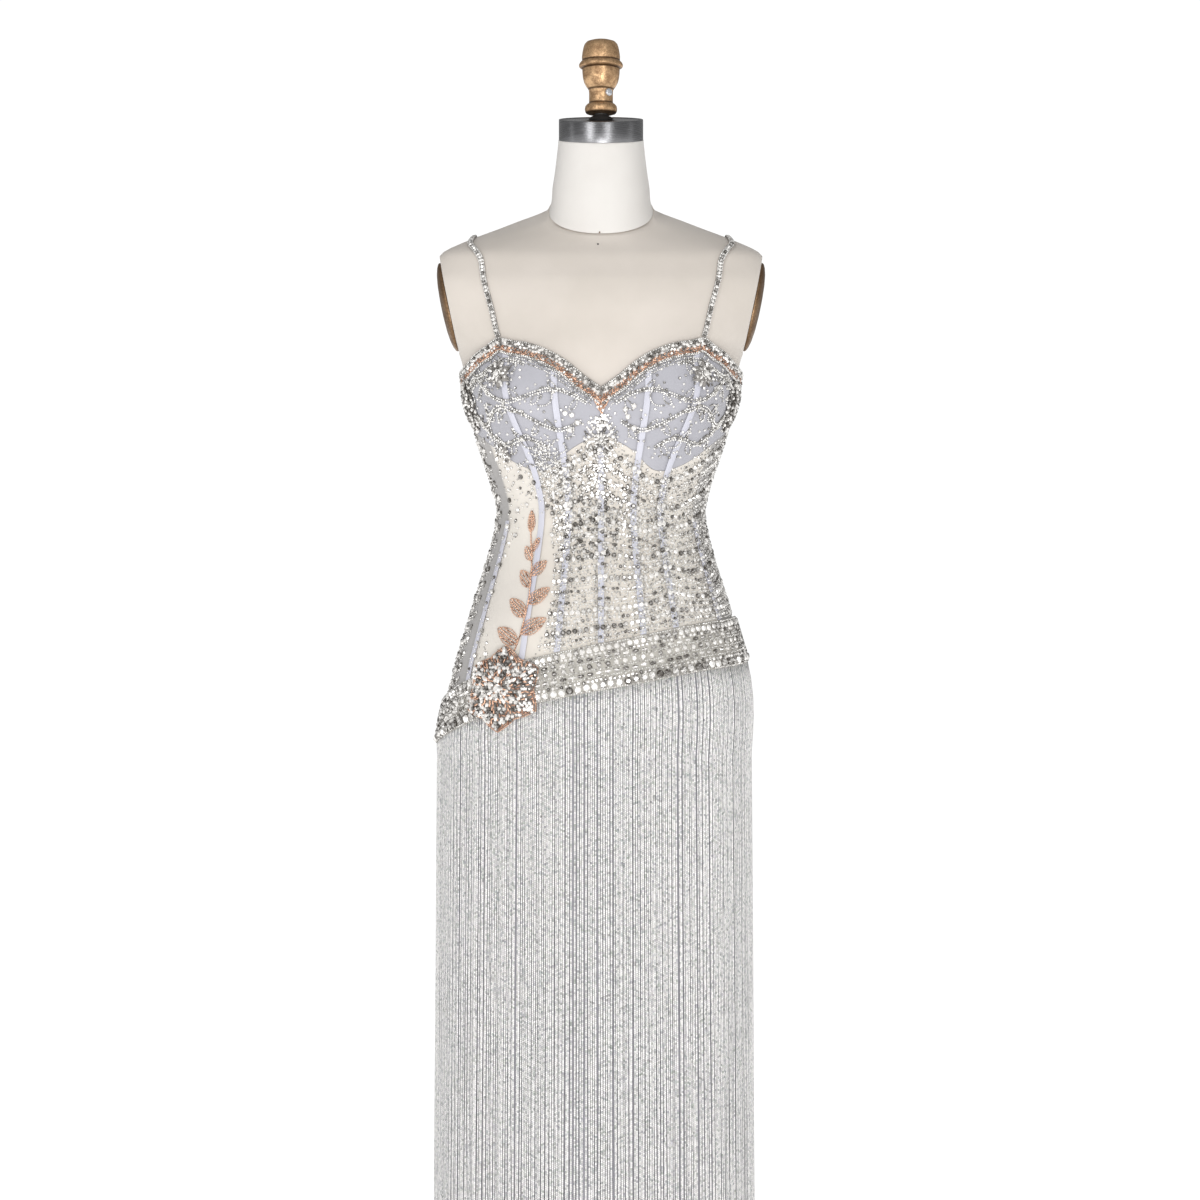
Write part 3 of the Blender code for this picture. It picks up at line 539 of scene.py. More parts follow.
def fabric(name, color, tint, threads, roughness=0.85, sheen=0.25, depth=0.0003, clouds=14.0, beyond=None):
    """Woven cloth: threads to a metre, a slow tint, painted shade between the threads and a sheen; beyond
    gives a turn and a second colour.
    """
    made, tree, shader = material(name, {"Roughness": roughness, "Sheen Weight": sheen,
                                         "Sheen Roughness": 0.5})
    ground = color
    if beyond:
        turn, other = beyond
        blend = 1.2
        across = calc(tree, "ABSOLUTE", split(tree, coordinates(tree, "UV"))[0])
        share = remap(tree, across, (turn - blend) * GIRTH_PER_DEGREE, (turn + blend) * GIRTH_PER_DEGREE)
        ground = mix_colors(tree, share, color, other)
        tint = mix_colors(tree, share, tint, shaded(other, 0.88))
    tinted = use(tree, TINT, {"Vector": coordinates(tree, "Object"), "Scale": clouds, "Color": ground,
                              "Tint": tint})
    threaded = use(tree, WEAVE, {"Vector": coordinates(tree, "UV"), "Threads": threads})["Height"]
    # Painted shade between the threads: darker where the weave lies low
    painted_thread_shade = calc(tree, "MULTIPLY_ADD", threaded, -0.12, 0.12)
    shaded_weave_color = mix_colors(tree, painted_thread_shade, tinted["Color"], shaded(color, 0.55))
    feed(tree, shader, shaded_weave_color, None, threaded, 0.35, depth)
    return made


def worn_metal(name, metal, ground, wear, scale, depth=0.0004, grooves=()):
    """Metal leaf worn in spots, and dark in the grooves at the heights given."""
    made, tree, shader = material(name, {"Metallic": 0.85})
    worn = use(tree, WORN, {"Vector": coordinates(tree, "Object"), "Scale": scale, "Metal": metal,
                            "Ground": ground, "Wear": wear})
    color = worn["Color"]
    if grooves:
        height = split(tree, coordinates(tree, "Object"))[2]
        apart = [calc(tree, "ABSOLUTE", calc(tree, "SUBTRACT", height, groove)) for groove in grooves]
        nearest = apart[0]
        for distance in apart[1:]:
            nearest = calc(tree, "MINIMUM", nearest, distance)
        dark = remap(tree, nearest, 0.0004, 0.0016, 0.9, 0.0)
        color = mix_colors(tree, dark, color, shaded(ground, 0.35))
    feed(tree, shader, color, worn["Roughness"], worn["Height"], 0.3, depth)
    return made


def brushed_metal(name, metal, streak, stretch):
    made, tree, shader = material(name, {"Metallic": 1.0})
    lines = use(tree, BRUSHED, {"Vector": coordinates(tree, "Object", stretch), "Metal": metal,
                                "Streak": streak})
    feed(tree, shader, lines["Color"], lines["Roughness"], lines["Height"], 0.15, 0.0002)
    return made


def stone(name, dark, bright, metallic):
    made, tree, shader = material(name, {"Metallic": metallic, "Coat Weight": 0.4, "Coat Roughness": 0.05})
    facets = use(tree, PAINTED_FACETS, {"Dark": dark, "Bright": bright})
    feed(tree, shader, facets["Color"], facets["Roughness"])
    return made


def bead_string(name):
    made, tree, shader = material(name, {"Metallic": 0.04, "Roughness": 0.28})
    beads = use(tree, STRING, {"Vector": coordinates(tree, "UV"), "Beads": BEADS_PER_METRE,
                               "Silver": (1.0, 0.99, 0.975), "Shadow": (0.40, 0.39, 0.38), "Hue": 0.10})
    feed(tree, shader, beads["Color"], None, beads["Height"], 0.6, 0.0006)
    return made


def paint(name, color, dust):
    made, tree, shader = material(name, {"Roughness": 0.42, "Coat Weight": 0.2})
    tinted = use(tree, TINT, {"Vector": coordinates(tree, "Object"), "Scale": 30.0, "Color": color,
                              "Tint": dust})
    feed(tree, shader, tinted["Color"], None, tinted["Cloud"], 0.05, 0.0002)
    return made


LINEN = fabric("cream_linen", (0.71, 0.65, 0.588), (0.665, 0.608, 0.545), 1300.0)
NECK_LINEN = fabric("white_linen", (0.77, 0.745, 0.71), (0.73, 0.70, 0.665), 1300.0)
LINING = fabric("lavender_lining", (0.445, 0.442, 0.48), (0.405, 0.402, 0.437), 2600.0, 0.6, 0.3, 0.0002)
NUDE_MESH = fabric("nude_mesh", (0.74, 0.69, 0.625), (0.66, 0.61, 0.55), 900.0, 0.75, 0.3)
SIDE_MESH = fabric("side_mesh", (0.78, 0.735, 0.67), (0.70, 0.655, 0.60), 900.0, 0.75, 0.3,
                   beyond=(HIP_BONE, (0.42, 0.405, 0.395)))
BAND_NET = fabric("band_net", (0.50, 0.475, 0.43), (0.40, 0.38, 0.345), 900.0, 0.75, 0.3)
TAPE = fabric("boning_tape", (0.62, 0.62, 0.69), (0.56, 0.56, 0.63), 1800.0, 0.5, 0.3, 0.0002)
SKIRT = fabric("skirt_lining", (0.44, 0.43, 0.47), (0.38, 0.37, 0.41), 2600.0, 0.55, 0.3, 0.0002)
BACKING = fabric("stone_backing", (0.34, 0.32, 0.30), (0.26, 0.245, 0.23), 900.0)
STEEL = brushed_metal("dark_brushed_steel", (0.20, 0.20, 0.205), (0.31, 0.31, 0.32), (14.0, 14.0, 2600.0))
POLE_STEEL = brushed_metal("pole_steel", (0.50, 0.50, 0.51), (0.62, 0.62, 0.63), (500.0, 500.0, 8.0))
ZINC = worn_metal("zinc_plate", (0.75, 0.77, 0.80), (0.42, 0.43, 0.46), 0.5, 500.0)
GOLD = worn_metal("antique_gold", (0.72, 0.47, 0.26), (0.20, 0.11, 0.055), 0.75, 130.0, grooves=GROOVES)
BRONZE = worn_metal("bronze_paint", (0.25, 0.155, 0.085), (0.09, 0.052, 0.028), 0.6, 60.0)
BLACK = paint("black_paint", (0.025, 0.025, 0.026), (0.04, 0.039, 0.038))
FRINGE = bead_string("silver_bead_strings")
# Stones: the dark and bright colours between which each facet's painted light, shade and glints are drawn
LOOKS = {
    "crystal": stone("foiled_crystal", (0.055, 0.045, 0.035), (1.0, 0.975, 0.94), 0.35),
    "silver": stone("silver_bead", (0.22, 0.205, 0.18), (0.96, 0.94, 0.91), 0.3),
    "rose": stone("rose_gold_bead", (0.27, 0.125, 0.075), (0.90, 0.56, 0.39), 0.35),
}


# Pieces

def choose(piece):
    """Make a piece the only one selected, and the active one."""
    bpy.ops.object.select_all(action="DESELECT")
    piece.select_set(True)
    bpy.context.view_layer.objects.active = piece


def begin(name, add, **options):
    """Primitive added alone, at its size and place, and named."""
    bpy.ops.object.select_all(action="DESELECT")
    add(**options)
    made = bpy.context.object
    made.name = name
    made.data.name = name
    bpy.ops.object.transform_apply(location=True, rotation=True, scale=True)
    return made


def add_object(name, data):
    made = bpy.data.objects.new(name, data)
    bpy.context.scene.collection.objects.link(made)
    return made


def mesh_piece(name, points, faces):
    """Piece whose faces all have the same number of corners."""
    mesh = bpy.data.meshes.new(name)
    mesh.vertices.add(len(points))
    mesh.vertices.foreach_set("co", points.astype(np.float32).ravel())
    mesh.loops.add(faces.size)
    mesh.loops.foreach_set("vertex_index", faces.astype(np.int32).ravel())
    mesh.polygons.add(len(faces))
    mesh.polygons.foreach_set("loop_start", np.arange(0, faces.size, faces.shape[1], dtype=np.int32))
    mesh.update(calc_edges=True)
    return add_object(name, mesh)


def dress(piece, *looks):
    piece.data.materials.clear()
    for look in looks:
        piece.data.materials.append(look)


def settle(piece, look, slot, *nodes):
    """Give a piece its finish and body, and let it stand for the solids that it covers; the slot is not used.
    """
    dress(piece, *(look if isinstance(look, tuple) else (look,)))
    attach(piece, "root")
    if nodes:
        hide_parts(*nodes)
    return piece


def select_faces(piece, wanted):
    """Enter edit mode with just the faces selected that a rule wants."""
    bpy.ops.object.mode_set(mode="EDIT")
    bpy.ops.mesh.select_mode(type="FACE")
    bpy.ops.mesh.select_all(action="DESELECT")
    bpy.ops.object.mode_set(mode="OBJECT")
    for face in piece.data.polygons:
        face.select = wanted(face)
    bpy.ops.object.mode_set(mode="EDIT")


def close_up():
    """Point all faces outwards and leave edit mode."""
    bpy.ops.mesh.select_all(action="SELECT")
    bpy.ops.mesh.normals_make_consistent(inside=False)
    bpy.ops.object.mode_set(mode="OBJECT")


def shade(piece, degrees):
    choose(piece)
    bpy.ops.object.shade_smooth_by_angle(angle=math.radians(degrees))


def apply(piece, kind, **settings):
    bpy.context.view_layer.objects.active = piece
    made = piece.modifiers.new(kind.title(), kind)
    for key, value in settings.items():
        setattr(made, key, value)
    bpy.ops.object.modifier_apply(modifier=made.name)


def carve(piece, cutter):
    choose(piece)
    apply(piece, "BOOLEAN", operation="DIFFERENCE", object=cutter)
    bpy.data.objects.remove(cutter)


def lathe(name, profile, columns=72, angle=40):
    """Turned piece: a disc at the profile's foot, extruded and resized ring by ring."""
    radius, height = profile[0]
    piece = begin(name, bpy.ops.mesh.primitive_circle_add, vertices=columns, radius=radius,
                  fill_type="NGON", location=(0, 0, height))
    bpy.ops.object.mode_set(mode="EDIT")
    bpy.ops.mesh.select_all(action="SELECT")
    for (near, low), (far, high) in zip(profile, profile[1:]):
        bpy.ops.mesh.extrude_region_move(TRANSFORM_OT_translate={"value": (0, 0, high - low)})
        bpy.ops.transform.resize(value=(far / near, far / near, 1), center_override=(0, 0, high))
    close_up()
    shade(piece, angle)
    return piece


def set_points(piece, points):
    piece.data.vertices.foreach_set("co", np.asarray(points, np.float32).ravel())
    piece.data.update()


def grid(name, columns, rows):
    """Flat grid, with its points' shares of the width and of the length."""
    piece = begin(name, bpy.ops.mesh.primitive_grid_add, x_subdivisions=columns, y_subdivisions=rows, size=1)
    flat = np.array([v.co for v in piece.data.vertices])
    return piece, flat[:, 0] + 0.5, flat[:, 1] + 0.5


def map_cloth(piece, turn, height):
    """UV in metres: round the body and up it."""
    places = np.stack((turn * GIRTH_PER_DEGREE, height), -1)
    corners = np.array([loop.vertex_index for loop in piece.data.loops])
    piece.data.uv_layers[0].data.foreach_set("uv", places[corners].astype(np.float32).ravel())


def cut_size(points, columns, rows, u, v):
    """Width, length and area of a cloth's grid, measured along it."""
    order = np.argsort(np.round(v * rows) * (columns + 1) + np.round(u * columns))
    net = points[order].reshape(rows + 1, columns + 1, 3)
    across, up = np.diff(net, axis=1), np.diff(net, axis=0)
    area = np.linalg.norm(np.cross(across[:-1], up[:, :-1]), axis=-1).sum()
    width = np.linalg.norm(across, axis=-1).sum(axis=1).max()
    length = np.linalg.norm(up, axis=-1).sum(axis=0).max()
    return width, length, min(area, width * length)


def between(start, end, side=1):
    """Rule for the turns of a cloth between two seams of one side, less the gap at each."""
    def span(height):
        low, high = value_at(start, height) + SEAM_TURN, value_at(end, height) - SEAM_TURN
        return (low, high) if side > 0 else (-high, -low)
    return span


def cloth(name, span, low, high, columns, rows, lift, wall, look, slot, node_name, relief=None):
    """Thin shell on the body, between two turns and two edges, and its cut size."""
    piece, u, v = grid(name, columns, rows)
    height = np.full(len(u), WAIST)
    for _ in range(EDGE_ROUNDS):
        start, end = span(height)
        turn = start + (end - start) * u
        foot = value_at(low, turn)
        height = foot + (value_at(high, turn) - foot) * v
    rise = 0.0 if relief is None else relief(u, turn, height)
    points = gown(turn, height, lift + rise)
    set_points(piece, points)
    map_cloth(piece, turn, height)
    apply(piece, "SOLIDIFY", thickness=wall, offset=1)
    shade(piece, CLOTH_ANGLE)
    settle(piece, look, slot, node_name)
    return piece, cut_size(points, columns, rows, u, v)


# Stage, camera and lights

def make_stage():
    floor = begin("studio_floor", bpy.ops.mesh.primitive_plane_add, size=60)
    made, _, _ = material("studio_white", {
        "Base Color": (0.25, 0.25, 0.25, 1), "Roughness": 0.9, "Specular IOR Level": 0.0,
        "Emission Color": (1, 1, 1, 1), "Emission Strength": 0.97})
    floor.data.materials.append(made)

    world = bpy.data.worlds.new("studio")
    world.use_nodes = True
    tree = world.node_tree
    lit = tree.nodes["Background"]
    lit.inputs["Color"].default_value = (1, 1, 1, 1)
    lit.inputs["Strength"].default_value = 0.30
    seen = node(tree, "Background", {"Color": (1, 1, 1, 1), "Strength": 1.05})
    path = node(tree, "LightPath")
    mixed = node(tree, "MixShader", {0: path.outputs["Is Camera Ray"], 1: lit.outputs[0], 2: seen.outputs[0]})
    tree.links.new(mixed.outputs[0], tree.nodes["World Output"].inputs["Surface"])
    bpy.context.scene.world = world
    bpy.context.scene.view_settings.view_transform = "Standard"


def make_camera():
    data = bpy.data.cameras.new("camera")
    camera = add_object("camera", data)
    view = PHOTO_SIDE * PIXEL
    camera.location = (PHOTO_LEFT + view / 2, -CAMERA_DISTANCE, PHOTO_TOP - view / 2)
    camera.rotation_euler = (math.pi / 2, 0, 0)
    data.sensor_width = SENSOR
    data.lens = SENSOR * CAMERA_DISTANCE / view
    bpy.context.scene.camera = camera


def make_lights():
    # Name, place, width, height, power
    lamps = (
        ("key_strip", (-1.75, -3.0, 2.15), 0.8, 2.8, 32.5),
        ("fill_strip", (1.10, -3.25, 2.15), 0.6, 2.8, 23.0),
        ("low_light", (0.2, -3.3, 0.4), 1.4, 0.8, 32.0),
        ("left_strip", (-3.2, -0.2, 1.7), 0.25, 2.2, 1.8),
        ("right_strip", (3.2, -0.1, 1.7), 0.25, 2.2, 1.8),
        ("back_light", (0.4, 3.2, 2.4), 2.0, 2.0, 26.0),
    )
    for name, place, width, height, watts in lamps:
        data = bpy.data.lights.new(name, "AREA")
        data.shape = "RECTANGLE"
        data.size = width
        data.size_y = height
        data.energy = watts
        lamp = add_object(name, data)
        lamp.location = place
        lamp.rotation_euler = (Vector(LIT_POINT) - Vector(place)).to_track_quat("-Z", "Y").to_euler()
        lamp.visible_glossy = name != "back_light"


# Dress form and stand

def armhole_plane(side):
    up = Vector((ARMHOLE_LEAN * side, 0, 1)).normalized()
    return Vector((ARMHOLE_X * side, 0, ARMHOLE_MIDDLE)), up, Vector((up.z * side, 0, -up.x * side))


def form_cover(name, low, high, columns, rows, inset=1.0):
    """Closed cover over a stretch of the form, drawn in by a share at its foot."""
    piece, u, v = grid(name, columns, rows)
    turn, height = -180 + 360 * u, low + (high - low) * v
    points = form_point(turn, height)
    centre = np.stack((np.zeros(len(u)), np.zeros(len(u)), points[:, 2]), -1)
    foot = 1 - (1 - inset) * (v < 1e-6)[:, None]
    set_points(piece, centre + (points - centre) * foot)
    map_cloth(piece, turn, height)
    bpy.ops.object.mode_set(mode="EDIT")
    bpy.ops.mesh.select_mode(type="VERT")
    bpy.ops.mesh.select_all(action="SELECT")
    bpy.ops.mesh.remove_doubles(threshold=0.00001)
    bpy.ops.mesh.select_all(action="DESELECT")
    bpy.ops.mesh.select_non_manifold()
    bpy.ops.mesh.fill_holes(sides=0)
    close_up()
    return piece


def cut_armhole(torso, side):
    middle, up, out = armhole_plane(side)
    length = (ARMHOLE_TOP - ARMHOLE_BOTTOM) / up.z
    centre = middle + up * ((ARMHOLE_TOP + ARMHOLE_BOTTOM) / 2 - ARMHOLE_MIDDLE) / up.z
    cutter = begin("armhole_cutter", bpy.ops.mesh.primitive_cube_add, size=1)
    reach, depth = 0.1, 0.24
    for vert in cutter.data.vertices:
        x, y, z = vert.co
        vert.co = centre + out * (x + 0.5) * reach + Vector((0, y * depth, 0)) + up * z * length
    if Matrix((out, Vector((0, 1, 0)), up)).determinant() < 0:
        cutter.data.flip_normals()
    carve(torso, cutter)


def even_out_chest(piece):
    """Even out the cover's slope at the collarbones, front and back, away from the shoulders' ends."""
    chest = piece.vertex_groups.new(name="chest")
    for vert in piece.data.vertices:
        level = smooth_step(*CHEST_FOOT, vert.co.z) * smooth_step(*CHEST_HEAD, vert.co.z)
        weight = float(level * smooth_step(*CHEST_SIDE, abs(vert.co.x)))
        if weight > 0:
            chest.add([vert.index], weight, "REPLACE")
    apply(piece, "SMOOTH", factor=0.5, iterations=24, vertex_group=chest.name)
    piece.vertex_groups.clear()


def make_form():
    torso = form_cover("form_cover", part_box("form_torso")[0].z, NECK_BASE, 144, 150)
    even_out_chest(torso)
    for _, side in SIDES:
        cut_armhole(torso, side)
    shade(torso, 30)
    settle(torso, LINEN, "linen", "form_torso")

    neck = form_cover("neck_cover", NECK_BASE + 2 * FIT_GAP, NECK_TOP, 96, 24, NECK_INSET)
    shade(neck, 40)
    settle(neck, NECK_LINEN, "neck_linen", "form_neck")

    # Pins under the neck: height, radius, finish, slot
    pins = ((1.3856, 0.0010, BRONZE, "bronze"), (1.3705, 0.0012, BLACK, "black"))
    for number, (level, radius, look, slot) in enumerate(pins):
        spots = form_point(PIN_TURN, np.linspace(1.38, 1.45, 400))
        spot = spots[np.abs(spots[:, 2] - level).argmin()]
        pin = begin(f"pin_{number + 1}", bpy.ops.mesh.primitive_uv_sphere_add, segments=14, ring_count=8,
                    radius=radius, location=tuple(spot))
        shade(pin, 60)
        settle(pin, look, slot)


def tilt(piece, below=math.inf):
    """Give the points under a height the forward tilt of the neck's top."""
    for vert in piece.data.vertices:
        if vert.co.z < below:
            vert.co.z += vert.co.y * math.tan(math.radians(NECK_TILT))


def half_size(node_name, axis):
    low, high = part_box(node_name)
    return (high[axis] - low[axis]) / 2


def make_cap():
    rim, dish = 0.0022, 0.0012
    cap = begin("neck_cap", bpy.ops.mesh.primitive_cylinder_add, vertices=112,
                radius=half_size("form_cap", 0), depth=CAP_HEIGHT,
                location=(0, CAP_CENTRE_Y, CAP_FOOT + CAP_HEIGHT / 2))
    select_faces(cap, lambda face: face.normal.z > 0.9)
    bpy.ops.mesh.inset(thickness=rim)
    bpy.ops.mesh.extrude_region_move(TRANSFORM_OT_translate={"value": (0, 0, -dish)})
    bpy.ops.mesh.inset(thickness=0.028)
    bpy.ops.transform.translate(value=(0, 0, dish * 0.7))
    bpy.ops.object.mode_set(mode="OBJECT")
    apply(cap, "BEVEL", width=0.0008, segments=2, limit_method="ANGLE")
    tilt(cap)
    shade(cap, 35)
    settle(cap, STEEL, "steel", "form_cap")


def make_finial():
    settle(lathe("finial_turning", FINIAL, 96, 32), GOLD, "gold", "finial")

    radius = half_size("finial_post", 0)
    foot = CAP_FOOT + CAP_HEIGHT
    # Stem, from its flange up: share of the radius, height
    stem = ((1.45, foot), (1.5, foot + 0.0008), (1.1, foot + 0.0030), (0.8, foot + 0.0042),
            (0.8, FINIAL[0][1] - FIT_GAP))
    post = lathe("finial_stem", [(share * radius, height) for share, height in stem], 48, 30)
    tilt(post, foot + 0.0031)
    settle(post, BLACK, "steel", "finial_post")


def make_screw():
    """Cross-slotted screw in the finial's neck."""
    low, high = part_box("finial_screw")
    centre, radius = (low + high) / 2, half_size("finial_screw", 2)
    length = 0.0026
    # Head, from its back out: share of the radius, share of the length
    head = ((1.0, 0.0), (1.0, 0.35), (0.93, 0.7), (0.62, 1.0), (0.05, 1.05))
    screw = lathe("finial_screw_head", [(radius * share, length * rise) for share, rise in head], 40, 30)
    cutter = begin("slot_cutter", bpy.ops.mesh.primitive_cube_add, size=1)
    for vert in cutter.data.vertices:
        x, y, z = vert.co
        vert.co = (x * radius * 1.15, y * radius * 0.26, z * length * 0.8 + length * 1.05)
    cross = add_object("cross_cutter", cutter.data.copy())
    cross.data.transform(Matrix.Rotation(math.pi / 2, 4, "Z"))
    carve(screw, cutter)
    carve(screw, cross)
    out = Vector((centre.x, centre.y, 0)).normalized()
    up = Vector((0, 0, 1))
    axes = Matrix((up.cross(out), up, out)).transposed().to_4x4()
    axes.translation = centre - out * length / 2
    screw.data.transform(axes @ Matrix.Rotation(math.radians(SCREW_SPIN), 4, "Z"))
    shade(screw, 30)
    settle(screw, ZINC, "zinc", "finial_screw")


def make_arm_plates():
    # Rings as shares of the plate's size and of its dome
    rings = ((0.97, 0.03), (0.995, 0.08), (1.0, 0.21), (0.98, 0.36), (0.90, 0.56), (0.76, 0.75), (0.55, 0.90),
             (0.30, 0.975), (0.05, 1.0))
    for label, side in SIDES:
        middle, up, out = armhole_plane(side)
        plate = lathe(f"arm_plate_cover_{label}", rings, 72, CLOTH_ANGLE)
        for vert in plate.data.vertices:
            across = up * (PLATE_HALF_HEIGHT * vert.co.x) + Vector((0, PLATE_HALF_DEPTH * vert.co.y, 0))
            vert.co = middle + Vector((0, PLATE_Y, 0)) + across + out * (PLATE_DOME * vert.co.z)
        if side < 0:
            plate.data.flip_normals()
        shade(plate, CLOTH_ANGLE)
        settle(plate, BRONZE, "bronze", f"arm_plate_{label}")


def make_stand():
    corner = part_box("stand_base")[1]
    radius, top, hub = corner.x, corner.z, 0.030
    profile = [(radius - 0.001, 0.0), (radius, 0.001), (radius, 0.0045), (radius - 0.0012, 0.0066),
               (radius - 0.004, 0.008), (0.110, 0.0098), (0.060, 0.012), (0.042, 0.0138), (1.15 * hub, 0.016),
               (1.02 * hub, 0.021), (hub, 0.030), (hub, 0.034), (0.95 * hub, 0.0375), (0.88 * hub, 0.0392),
               (0.8 * hub, top), (0.2 * hub, top)]
    settle(lathe("stand_foot", profile, 128, 35), BLACK, "black", "stand_base")

    low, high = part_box("stand_pole")
    radius, collar = high.x, 0.0022
    profile = [(radius, low.z), (radius + collar, low.z + 0.0006), (radius + collar, low.z + 0.011),
               (radius, low.z + 0.0125), (radius, high.z - 0.001), (radius - 0.001, high.z)]
    settle(lathe("stand_tube", profile, 48, 30), POLE_STEEL, "steel", "stand_pole")


# Beadwork

def model(name, add, drop=0.0, **options):
    """One stone or bead, modelled once, as its points, its triangles and how far each looks up."""
    made = begin(name, add, **options)
    if drop:
        select_faces(made, lambda face: face.normal.z < -0.9)
        bpy.ops.mesh.extrude_region_move(TRANSFORM_OT_translate={"value": (0, 0, -drop)})
        bpy.ops.mesh.delete(type="FACE")
        bpy.ops.object.mode_set(mode="OBJECT")
    bpy.ops.object.mode_set(mode="EDIT")
    bpy.ops.mesh.select_all(action="SELECT")
    bpy.ops.mesh.quads_convert_to_tris()
    bpy.ops.object.mode_set(mode="OBJECT")
    points = np.array([v.co for v in made.data.vertices])
    faces = np.array([face.vertices[:] for face in made.data.polygons])
    facing = np.array([face.normal.z for face in made.data.polygons])
    bpy.data.objects.remove(made)
    # The walls' facets in the same order each run, however they were extruded
    centres = points[faces].mean(axis=1)
    walls = np.flatnonzero((centres[:, 2] < drop) & (drop > 0))
    order = np.arange(len(faces))
    order[walls] = walls[np.lexsort(centres[walls].round(4).T)]
    return points, faces[order], facing[order]


def make_models():
    """Stones and beads a unit wide, that stand on z = 0."""
    cone = bpy.ops.mesh.primitive_cone_add
    return {
        "round": model("round_stone", cone, 0.2, vertices=8, radius1=0.5, radius2=0.27, depth=0.26,
                       location=(0, 0, 0.33)),
        "chip": model("chip_stone", cone, 0.2, vertices=5, radius1=0.52, radius2=0.24, depth=0.3,
                      location=(0, 0, 0.35)),
        "navette": model("navette_stone", cone, 0.12, vertices=6, radius1=0.5, radius2=0.2, depth=0.2,
                         location=(0, 0, 0.22), scale=(1.0, 0.52, 1.0)),
        "seed": model("seed_bead", bpy.ops.mesh.primitive_ico_sphere_add, subdivisions=1, radius=0.5,
                      location=(0, 0, 0.34)),
        "bugle": model("bugle_bead", bpy.ops.mesh.primitive_cylinder_add, vertices=5, radius=0.5, depth=1.0,
                       rotation=(0, math.pi / 2, 0), location=(0, 0, 0.40)),
    }


MODELS = make_models()


def tones(count, dark, bright):
    """How light each stone is painted, in place of the light it reflects: some painted dark, some painted
    bright, the rest between.
    """
    draw = chance.random(count)
    middle = 0.35 + 0.3 * chance.random(count)
    return np.where(draw < dark, 0.08 + 0.15 * chance.random(count),
                    np.where(draw > 1 - bright, 0.75 + 0.25 * chance.random(count), middle))


class Beadwork:
    """Stones and beads of one piece, laid copy by copy and joined into one mesh."""

    def __init__(self):
        self.points, self.faces, self.tones, self.looks, self.soft = [], [], [], [], []
        self.count = 0

    def lay(self, kind, seats, size, look="crystal", spin=0.0, stretch=(1, 1, 1), dark=0.14, bright=0.5):
        """Lay copies of a model: size across, spin from the direction round the body."""
        shape, triangles, facing = MODELS[kind]
        point, normal, around = seats
        count = len(point)
        if not count:
            return
        spin = np.broadcast_to(np.asarray(spin, float), (count,))[:, None]
        along = around * np.cos(spin) + np.cross(normal, around) * np.sin(spin)
        side = np.cross(normal, along)
        local = (shape * np.asarray(stretch, float))[None] * np.broadcast_to(size, (count,))[:, None, None]
        placed = (point[:, None] + along[:, None] * local[..., 0:1] + side[:, None] * local[..., 1:2]
                  + normal[:, None] * local[..., 2:3])
        starts = self.count + np.arange(count)[:, None, None] * len(shape)
        # Painted light of each facet: the stone's painted brightness, painted light on facets that look up,
        # and painted glints at random
        facets = (tones(count, dark, bright)[:, None] + PAINTED_TOP_LIGHT * (facing - PAINTED_LIGHT_LEVEL)
                  + PAINTED_GLINT * (chance.random((count, len(triangles))) - 0.5))
        self.points.append(placed.reshape(-1, 3))
        self.faces.append((triangles[None] + starts).reshape(-1, 3))
        self.tones.append(np.clip(facets, 0, 1).ravel())
        self.looks.append(np.full(count * len(triangles), list(LOOKS).index(look)))
        self.soft.append(np.full(count * len(triangles), kind in ("seed", "bugle")))
        self.count += count * len(shape)

    def scatter(self, kind, places, size, lift, seats=seat, **finish):
        """Lay copies at places on the body, each spun at random."""
        self.lay(kind, seats(*places, lift), size, spin=chance.random(len(places[0])) * 6, **finish)

    def row(self, kind, route, pitch, size, lift, wander=0.0, lean=0.0, seats=seat, keep=None, **finish):
        """Lay an even row along a route, each copy turned from the row's direction."""
        turn, height = route
        fine = seats(turn, height, lift)[0]
        steps = np.linalg.norm(np.diff(fine, axis=0), axis=1)
        length = np.concatenate(([0.0], np.cumsum(steps)))
        count = max(1, int(length[-1] / pitch))
        stops = (np.arange(count) + 0.5) * length[-1] / count
        turn_at, height_at = np.interp(stops, length, turn), np.interp(stops, length, height)
        ahead = np.stack([np.interp(stops + pitch / 4, length, fine[:, i])
                          - np.interp(stops - pitch / 4, length, fine[:, i]) for i in range(3)], -1)
        if wander:
            turn_at = turn_at + chance.normal(0, wander, count) / arc_per_degree(turn_at, height_at)
            height_at = height_at + chance.normal(0, wander, count)
        if keep is not None:
            kept = keep(turn_at, height_at)
            turn_at, height_at, ahead = turn_at[kept], height_at[kept], ahead[kept]
        if not len(turn_at):
            return
        point, normal, around = seats(turn_at, height_at, lift)
        side = np.cross(normal, around)
        spin = np.arctan2((ahead * side).sum(-1), (ahead * around).sum(-1)) + lean
        self.lay(kind, (point, normal, around), size, spin=spin, **finish)

    def finish(self, name):
        piece = mesh_piece(name, np.concatenate(self.points), np.concatenate(self.faces))
        settle(piece, tuple(LOOKS.values()), "stones")
        mesh = piece.data
        mesh.polygons.foreach_set("material_index", np.concatenate(self.looks).astype(np.int32))
        mesh.polygons.foreach_set("use_smooth", np.concatenate(self.soft))
        # Each facet's painted light, shade and glints, for the stone materials
        mesh.attributes.new("tone", "FLOAT", "FACE").data.foreach_set(
            "value", np.concatenate(self.tones).astype(np.float32))
        print(name, len(mesh.polygons), "triangles")
        return piece


